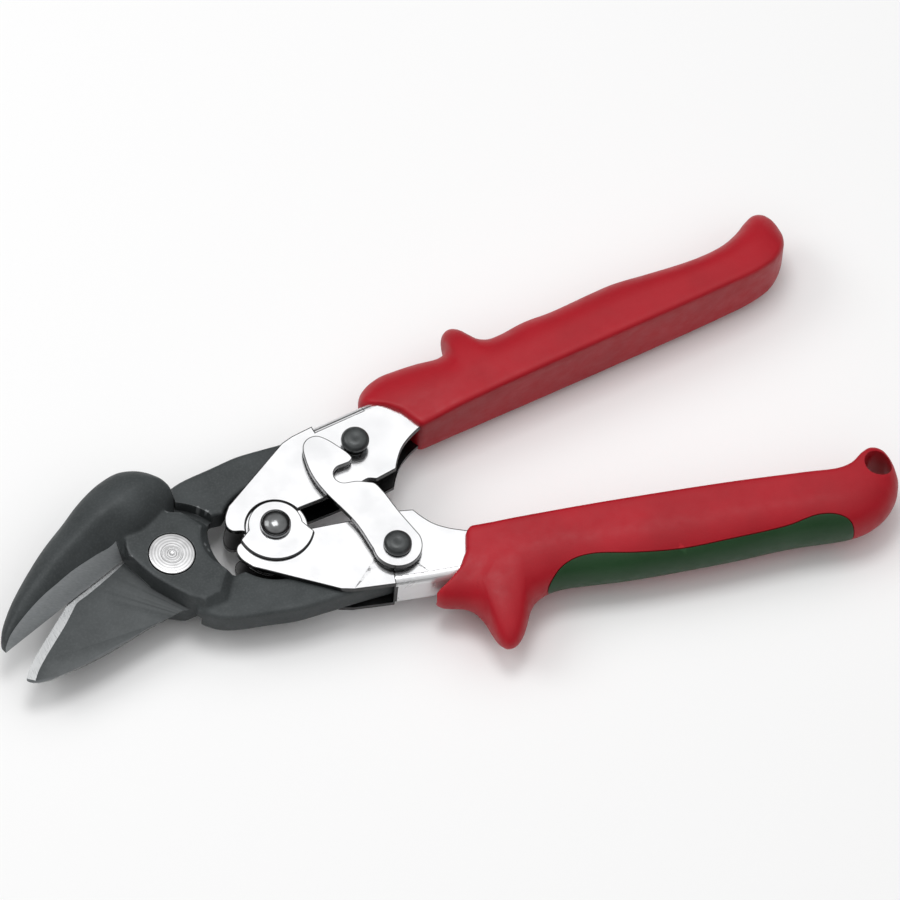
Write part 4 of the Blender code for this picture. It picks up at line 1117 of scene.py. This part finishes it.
def lower_grip():
    back = [(40.6, 27.2), (40.9, 28.3), (42.2, 29.6), (44.6, 30.4), (47.2, 30.9), (49.6, 31.8), (51.4, 33.4),
            (53.4, 37.2),
            (54.6, 41.5), (55.8, 44.5), (57.6, 46.2), (60.0, 45.9), (62.6, 43.2), (64.8, 39.0), (66.3, 35.6),
            (68.4, 32.8), (71.8, 30.6), (76.4, 29.4), (96.0, 29.8), (111.0, 29.4), (125.5, 28.7),
            (142.9, 27.3),
            (160.2, 27.2), (165.6, 26.1), (170.8, 23.2), (174.6, 18.8), (176.3, 14.6), (176.7, 12.6)]
    inner = [(40.0, 9.8), (59.0, 10.0), (93.0, 9.3), (128.0, 9.1), (150.0, 9.5), (159.8, 9.6), (163.8, 8.3),
             (167.2, 5.5),
             (170.2, 4.0), (173.4, 4.6), (175.6, 7.6), (176.7, 12.5)]
    half = [(40.0, 8.4), (55.0, 9.2), (75.0, 9.8), (150.0, 9.8), (162.0, 9.4), (169.5, 8.4), (173.8, 6.4),
            (176.0, 3.8),
            (176.7, 0.8)]
    front = [(9.8, 53.0), (12.0, 52.0), (17.6, 50.9), (22.1, 48.3), (25.3, 44.2), (27.2, 40.6)]
    grip = grip_skin("lower_grip_moulding", -1, back, inner, half, reversed_front(front))
    hole = along_handle(-1, [(171.4, 9.6)])[0]
    flare = [(4.6, -11.0), (4.4, -9.2), (4.0, -8.0), (3.8, -6.8), (3.7, -5.0), (3.7, 5.0), (3.8, 6.8),
             (4.0, 8.0), (4.4, 9.2),
             (4.6, 11.0)]
    finish_with(grip, GRIP_RED)
    cut(grip, finish_with(turned("hanging_hole", flare, hole), GRIP_RED))
    inlay = grip.copy()
    inlay.data = grip.data.copy()
    inlay.name = "lower_grip_inlay_moulding"
    bpy.context.scene.collection.objects.link(inlay)
    cut(grip, plate("inlay_room", inlay_outline(0.12), -12, 12))
    combine(inlay, plate("inlay_keep", inlay_outline(-0.12), -12, 12), "INTERSECT")
    stands_for(shade(lift(finish_with(inlay, GRIP_GREEN)), 40), "lower_grip_inlay", "grip_green")
    return stands_for(shade(lift(finish_with(grip, GRIP_RED)), 40), "lower_grip", "grip_red")


def inlay_outline(grow):
    edge = flowing([(70.4, 38.0), (70.8, 33.4), (72.0, 30.6), (74.2, 28.4), (76.8, 26.5), (80.8, 25.1),
                    (86.0, 24.7),
                    (98.0, 26.0), (111.0, 26.6), (124.0, 26.0), (142.0, 24.6), (151.1, 23.2), (156.8, 23.9),
                    (160.4, 26.0),
                    (161.4, 30.0), (161.8, 36.0)], 0.8)
    grown = []
    for before, at, after in zip([edge[0]] + edge, edge, edge[1:] + [edge[-1]]):
        along = Vector((after[0] - before[0], after[1] - before[1])).normalized()
        grown.append((at[0] + along.y * grow, at[1] - along.x * grow))
    return along_handle(-1, grown)


# ---------------------------------------------------------------- studio
def studio():
    """Pale floor, a white room and large soft lights."""
    bpy.ops.object.select_all(action="DESELECT")
    bpy.ops.mesh.primitive_plane_add(size=12.0, location=(0.1, 0, -0.0002))
    floor = bpy.context.object
    floor.name = "studio_floor"
    f = Finish("studio_floor_paint", 0.0, 0.9, Specular_IOR_Level=0.1)
    f.colour(f.ramp(f.noise(0.8, 2.0), (0.3, (0.90, 0.90, 0.90)), (0.7, (0.92, 0.92, 0.92))))
    floor.data.materials.append(f.material)
    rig.stage(floor)
    world = bpy.data.worlds.new("studio_room")
    world.use_nodes = True
    tree = world.node_tree
    background = tree.nodes["Background"]
    direction = tree.nodes.new("ShaderNodeTexCoord")
    split = tree.nodes.new("ShaderNodeSeparateXYZ")
    rise = tree.nodes.new("ShaderNodeMapRange")
    ceiling = tree.nodes.new("ShaderNodeValToRGB")
    rise.inputs["From Min"].default_value = -1.0
    tree.links.new(direction.outputs["Generated"], split.inputs["Vector"])
    tree.links.new(split.outputs["Z"], rise.inputs["Value"])
    tree.links.new(rise.outputs["Result"], ceiling.inputs["Fac"])
    tree.links.new(ceiling.outputs["Color"], background.inputs["Color"])
    elements = ceiling.color_ramp.elements
    for place, level in ((0.50, 0.03), (0.70, 0.04), (0.82, 0.9)):
        elements.new(place).color = (level, level, level, 1.0)
    elements[0].color = (0.3, 0.3, 0.3, 1.0)
    elements[-1].color = (1.0, 1.0, 1.0, 1.0)
    background.inputs["Strength"].default_value = 1.0
    bpy.context.scene.world = world
    soft_light("key_softbox", (0.05, 0.2, 1.15), (0.05, 0.0, 0.01), 0.4, 3.5)
    soft_light("fill_softbox", (-0.7, 0.5, 0.9), (0.05, 0.0, 0.01), 0.6, 3.0)
    bpy.context.scene.view_settings.view_transform = "Standard"


def soft_light(name, place, target, size, power):
    light = bpy.data.lights.new(name, "AREA")
    light.shape = "SQUARE"
    light.size = size
    light.energy = power
    lamp = bpy.data.objects.new(name, light)
    bpy.context.scene.collection.objects.link(lamp)
    lamp.location = place
    lamp.rotation_euler = (Vector(target) - Vector(place)).to_track_quat("-Z", "Y").to_euler()
    return lamp


def camera():
    """Looks down at sixty degrees from the jaws' side through a very long lens."""
    turn, rise, roll = math.radians(25.2), math.radians(60.0), math.radians(6.0)
    right = Vector((math.cos(turn), -math.sin(turn), 0))
    up = Vector((math.sin(turn) * math.sin(rise), math.cos(turn) * math.sin(rise), math.cos(rise)))
    across = right * math.cos(roll) + up * math.sin(roll)
    upward = up * math.cos(roll) - right * math.sin(roll)
    back = across.cross(upward)
    lens, sensor, view_width = 900.0, 36.0, 252.1
    pivot_head = Vector((0, 0, SHEAR_Z + PLATE_TOP))
    centre = pivot_head + across * 77.9 + upward * 29.1
    data = bpy.data.cameras.new("studio_camera")
    data.lens, data.sensor_width = lens, sensor
    data.clip_start, data.clip_end = 0.1, 50.0
    eye = bpy.data.objects.new("studio_camera", data)
    bpy.context.scene.collection.objects.link(eye)
    turned_to = Matrix((across, upward, back)).transposed().to_4x4()
    turned_to.translation = (centre + back * view_width * lens / sensor) * MM
    eye.matrix_world = turned_to
    bpy.context.scene.camera = eye


def bare_sleeve():
    """The distance sleeve keeps its own shape and gets a turned finish."""
    sleeve = frame["nodes"]["handle_pivot_sleeve"]
    sleeve.data.materials.clear()
    sleeve.data.materials.append(TURNED)


camera()
studio()
nose_blade()
lower_blade()
pivot_bolt()
pivot_washer()
pivot_nut()
link_rivets()
handle_pivot_rivet()
opening_spring()
bare_sleeve()
handle_channel(1, "upper_handle_channel", CHEEK_INNER - EAR_STEP, UPPER_EAR_RADIUS, UPPER_WEB_START)
handle_channel(-1, "lower_handle_channel", CHEEK_INNER + EAR_STEP, LOWER_EAR_RADIUS, LOWER_WEB_START)
latch()
latch_washer()
upper_grip()
lower_grip()

with open("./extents.json", "w") as size_file:
    json.dump({"cad": [list(corner) for corner in CAD_BOX],
               "visual": [list(corner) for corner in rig.bounds()]}, size_file)
